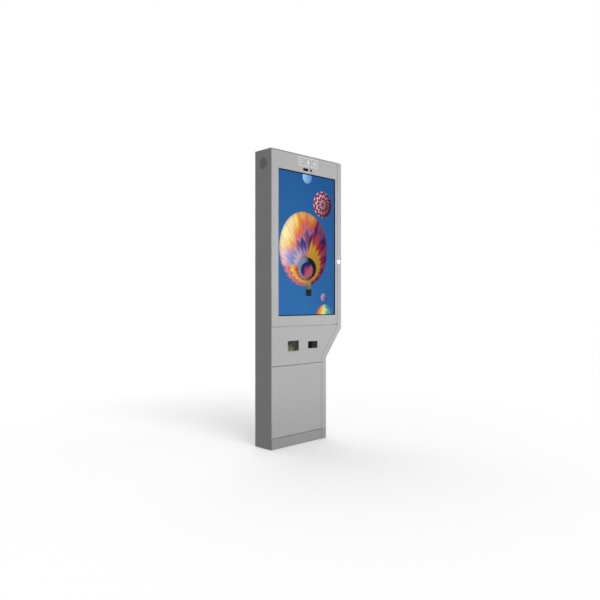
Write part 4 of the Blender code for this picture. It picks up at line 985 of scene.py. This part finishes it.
def make_supply():
    """Power supply: folded cover with rows of vent slots and a terminal strip."""
    low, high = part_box("power_supply")
    box = rounded_box((low.x, low.y + 0.0008, low.z), high, 0.0010)
    piece("supply_cover", box, "cabinet", zinc, ("power_supply",))
    slots = bmesh.new()
    for row in range(7):
        for column in range(9):
            x = low.x + 0.060 + column * 0.015
            z = low.z + 0.020 + row * 0.0125
            add(slots, rounded_box((x - 0.0055, low.y + 0.0003, z - 0.0016),
                                   (x + 0.0055, low.y + 0.0012, z + 0.0016), 0.0003, 1))
    piece("supply_vents", slots, "cabinet", black_plastic)
    strip = rounded_box((low.x + 0.008, low.y - 0.006, low.z + 0.012),
                        (low.x + 0.026, low.y + 0.0015, high.z - 0.012), 0.0008)
    for way in range(9):
        z = low.z + 0.0175 + way * 0.0106
        add(strip, rounded_box((low.x + 0.0075, low.y - 0.009, z - 0.0008),
                               (low.x + 0.0265, low.y - 0.004, z + 0.0008), 0.0003, 1))
    piece("supply_terminals", strip, "cabinet", black_plastic)
    heads = bmesh.new()
    for way in range(8):
        z = low.z + 0.0228 + way * 0.0106
        make_screw(heads, (low.x + 0.017, low.y - 0.006, z), -1, 0.0034)
    piece("supply_terminal_screws", heads, "cabinet", plated)


def make_switch_box():
    finished("switch_box", grey_plastic, 0.0014, 3)
    finished("mains_rocker", black_plastic, 0.0006)
    low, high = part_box("switch_box")
    corner_screws("switch_box_screws", "cabinet", (low, high), 0.008, low.y, -1, 0.0032)
    finished("cable_gland", black_plastic, 0.0005)


# ---- studio ----
def make_floor():
    """A pale disc just under the feet that fades to pure white, unseen in reflections."""
    made = bmesh.new()
    bmesh.ops.create_circle(made, cap_ends=True, radius=FLOOR_RADIUS, segments=96,
                            matrix=Matrix.Translation((0, 0, -0.0006)))
    mesh = bpy.data.meshes.new("studio_floor")
    made.to_mesh(mesh)
    made.free()
    floor = bpy.data.objects.new("studio_floor", mesh)
    bpy.context.collection.objects.link(floor)
    f = Finish("studio_floor")
    radius = (f.x * f.x + f.y * f.y) ** 0.5
    away = radius.fade(0.9, 3.4)
    white = f.mix(f.noise(0.6), (0.83, 0.83, 0.83), (0.85, 0.85, 0.85))
    look = f.set(Base_Color=f.mix(away, white, (0.0, 0.0, 0.0)), Roughness=0.9,
                 Emission_Color=f.mix(away, (0.16, 0.16, 0.16), (1.0, 1.0, 1.0)),
                 Emission_Strength=1.0, Specular_IOR_Level=0.1)
    mesh.materials.append(look)
    floor.visible_diffuse = False
    floor.visible_glossy = False
    floor.visible_transmission = False


def make_world():
    """White to the camera; to everything else a dim room, lighter above and below."""
    world = bpy.data.worlds.new("studio")
    bpy.context.scene.world = world
    world.use_nodes = True
    tree = world.node_tree
    tree.nodes.clear()
    kinds = ("OutputWorld", "MixShader", "Background", "Background", "ValToRGB", "TexCoord",
             "SeparateXYZ", "Math", "LightPath")
    output, mixed, seen, room, ramp, coordinates, split, height, path = [
        tree.nodes.new(f"ShaderNode{kind}") for kind in kinds]
    seen.inputs["Color"].default_value = (1, 1, 1, 1)
    room.inputs["Strength"].default_value = 1.0
    levels = ((0.0, 0.20), (0.36, 0.10), (0.5, 0.07), (0.64, 0.11), (1.0, 0.24))
    set_stops(ramp.color_ramp, [(place, (level, level, level)) for place, level in levels])
    height.operation = "MULTIPLY_ADD"
    height.inputs[1].default_value = 0.5
    height.inputs[2].default_value = 0.5
    links = ((coordinates.outputs["Generated"], split.inputs[0]),
             (split.outputs["Z"], height.inputs[0]),
             (height.outputs[0], ramp.inputs["Fac"]),
             (ramp.outputs["Color"], room.inputs["Color"]),
             (path.outputs["Is Camera Ray"], mixed.inputs["Fac"]),
             (room.outputs[0], mixed.inputs[1]),
             (seen.outputs[0], mixed.inputs[2]),
             (mixed.outputs[0], output.inputs["Surface"]))
    for start, end in links:
        tree.links.new(start, end)


def make_lamp(name, towards, strength, spread, mirrored=False):
    """A far soft light from the direction given, seen in glossy surfaces if mirrored."""
    lamp = bpy.data.lights.new(name, "SUN")
    lamp.energy = strength
    lamp.angle = math.radians(spread)
    holder = bpy.data.objects.new(name, lamp)
    bpy.context.collection.objects.link(holder)
    holder.rotation_mode = "QUATERNION"
    holder.rotation_quaternion = (-Vector(towards)).to_track_quat("-Z", "Y")
    holder.location = Vector(towards).normalized() * LAMP_FAR
    holder.visible_glossy = mirrored
    holder.visible_transmission = False


def make_studio():
    make_floor()
    make_world()
    make_lamp("key_light", (-0.20, -0.89, 0.40), 2.40, 50)
    make_lamp("top_light", (0.05, 0.15, 0.98), 0.95, 80)
    make_lamp("back_light", (0.25, 0.66, 0.70), 0.85, 60)
    make_lamp("glint_light", (0.756, -0.654, 0.060), 0.49, 2.2, True)
    camera = bpy.data.cameras.new("camera")
    camera.sensor_fit = "AUTO"
    camera.sensor_width = 36.0
    camera.lens = 36.0
    camera.clip_end = 100.0
    holder = bpy.data.objects.new("camera", camera)
    bpy.context.collection.objects.link(holder)
    holder.rotation_mode = "QUATERNION"
    holder.location = (-3.104, -3.159, 1.033)
    holder.rotation_quaternion = Vector((0.7009, 0.7133, 0.0)).to_track_quat("-Z", "Y")
    bpy.context.scene.camera = holder
    bpy.context.scene.view_settings.view_transform = "Standard"


make_studio()
make_steelwork()
make_rear_screws()
make_sign()
make_display()
make_camera()
make_grille()
make_outlet()
make_reader()
make_lock()
make_printer()
make_fans()
make_controller()
make_supply()
make_switch_box()

bpy.context.view_layer.update()
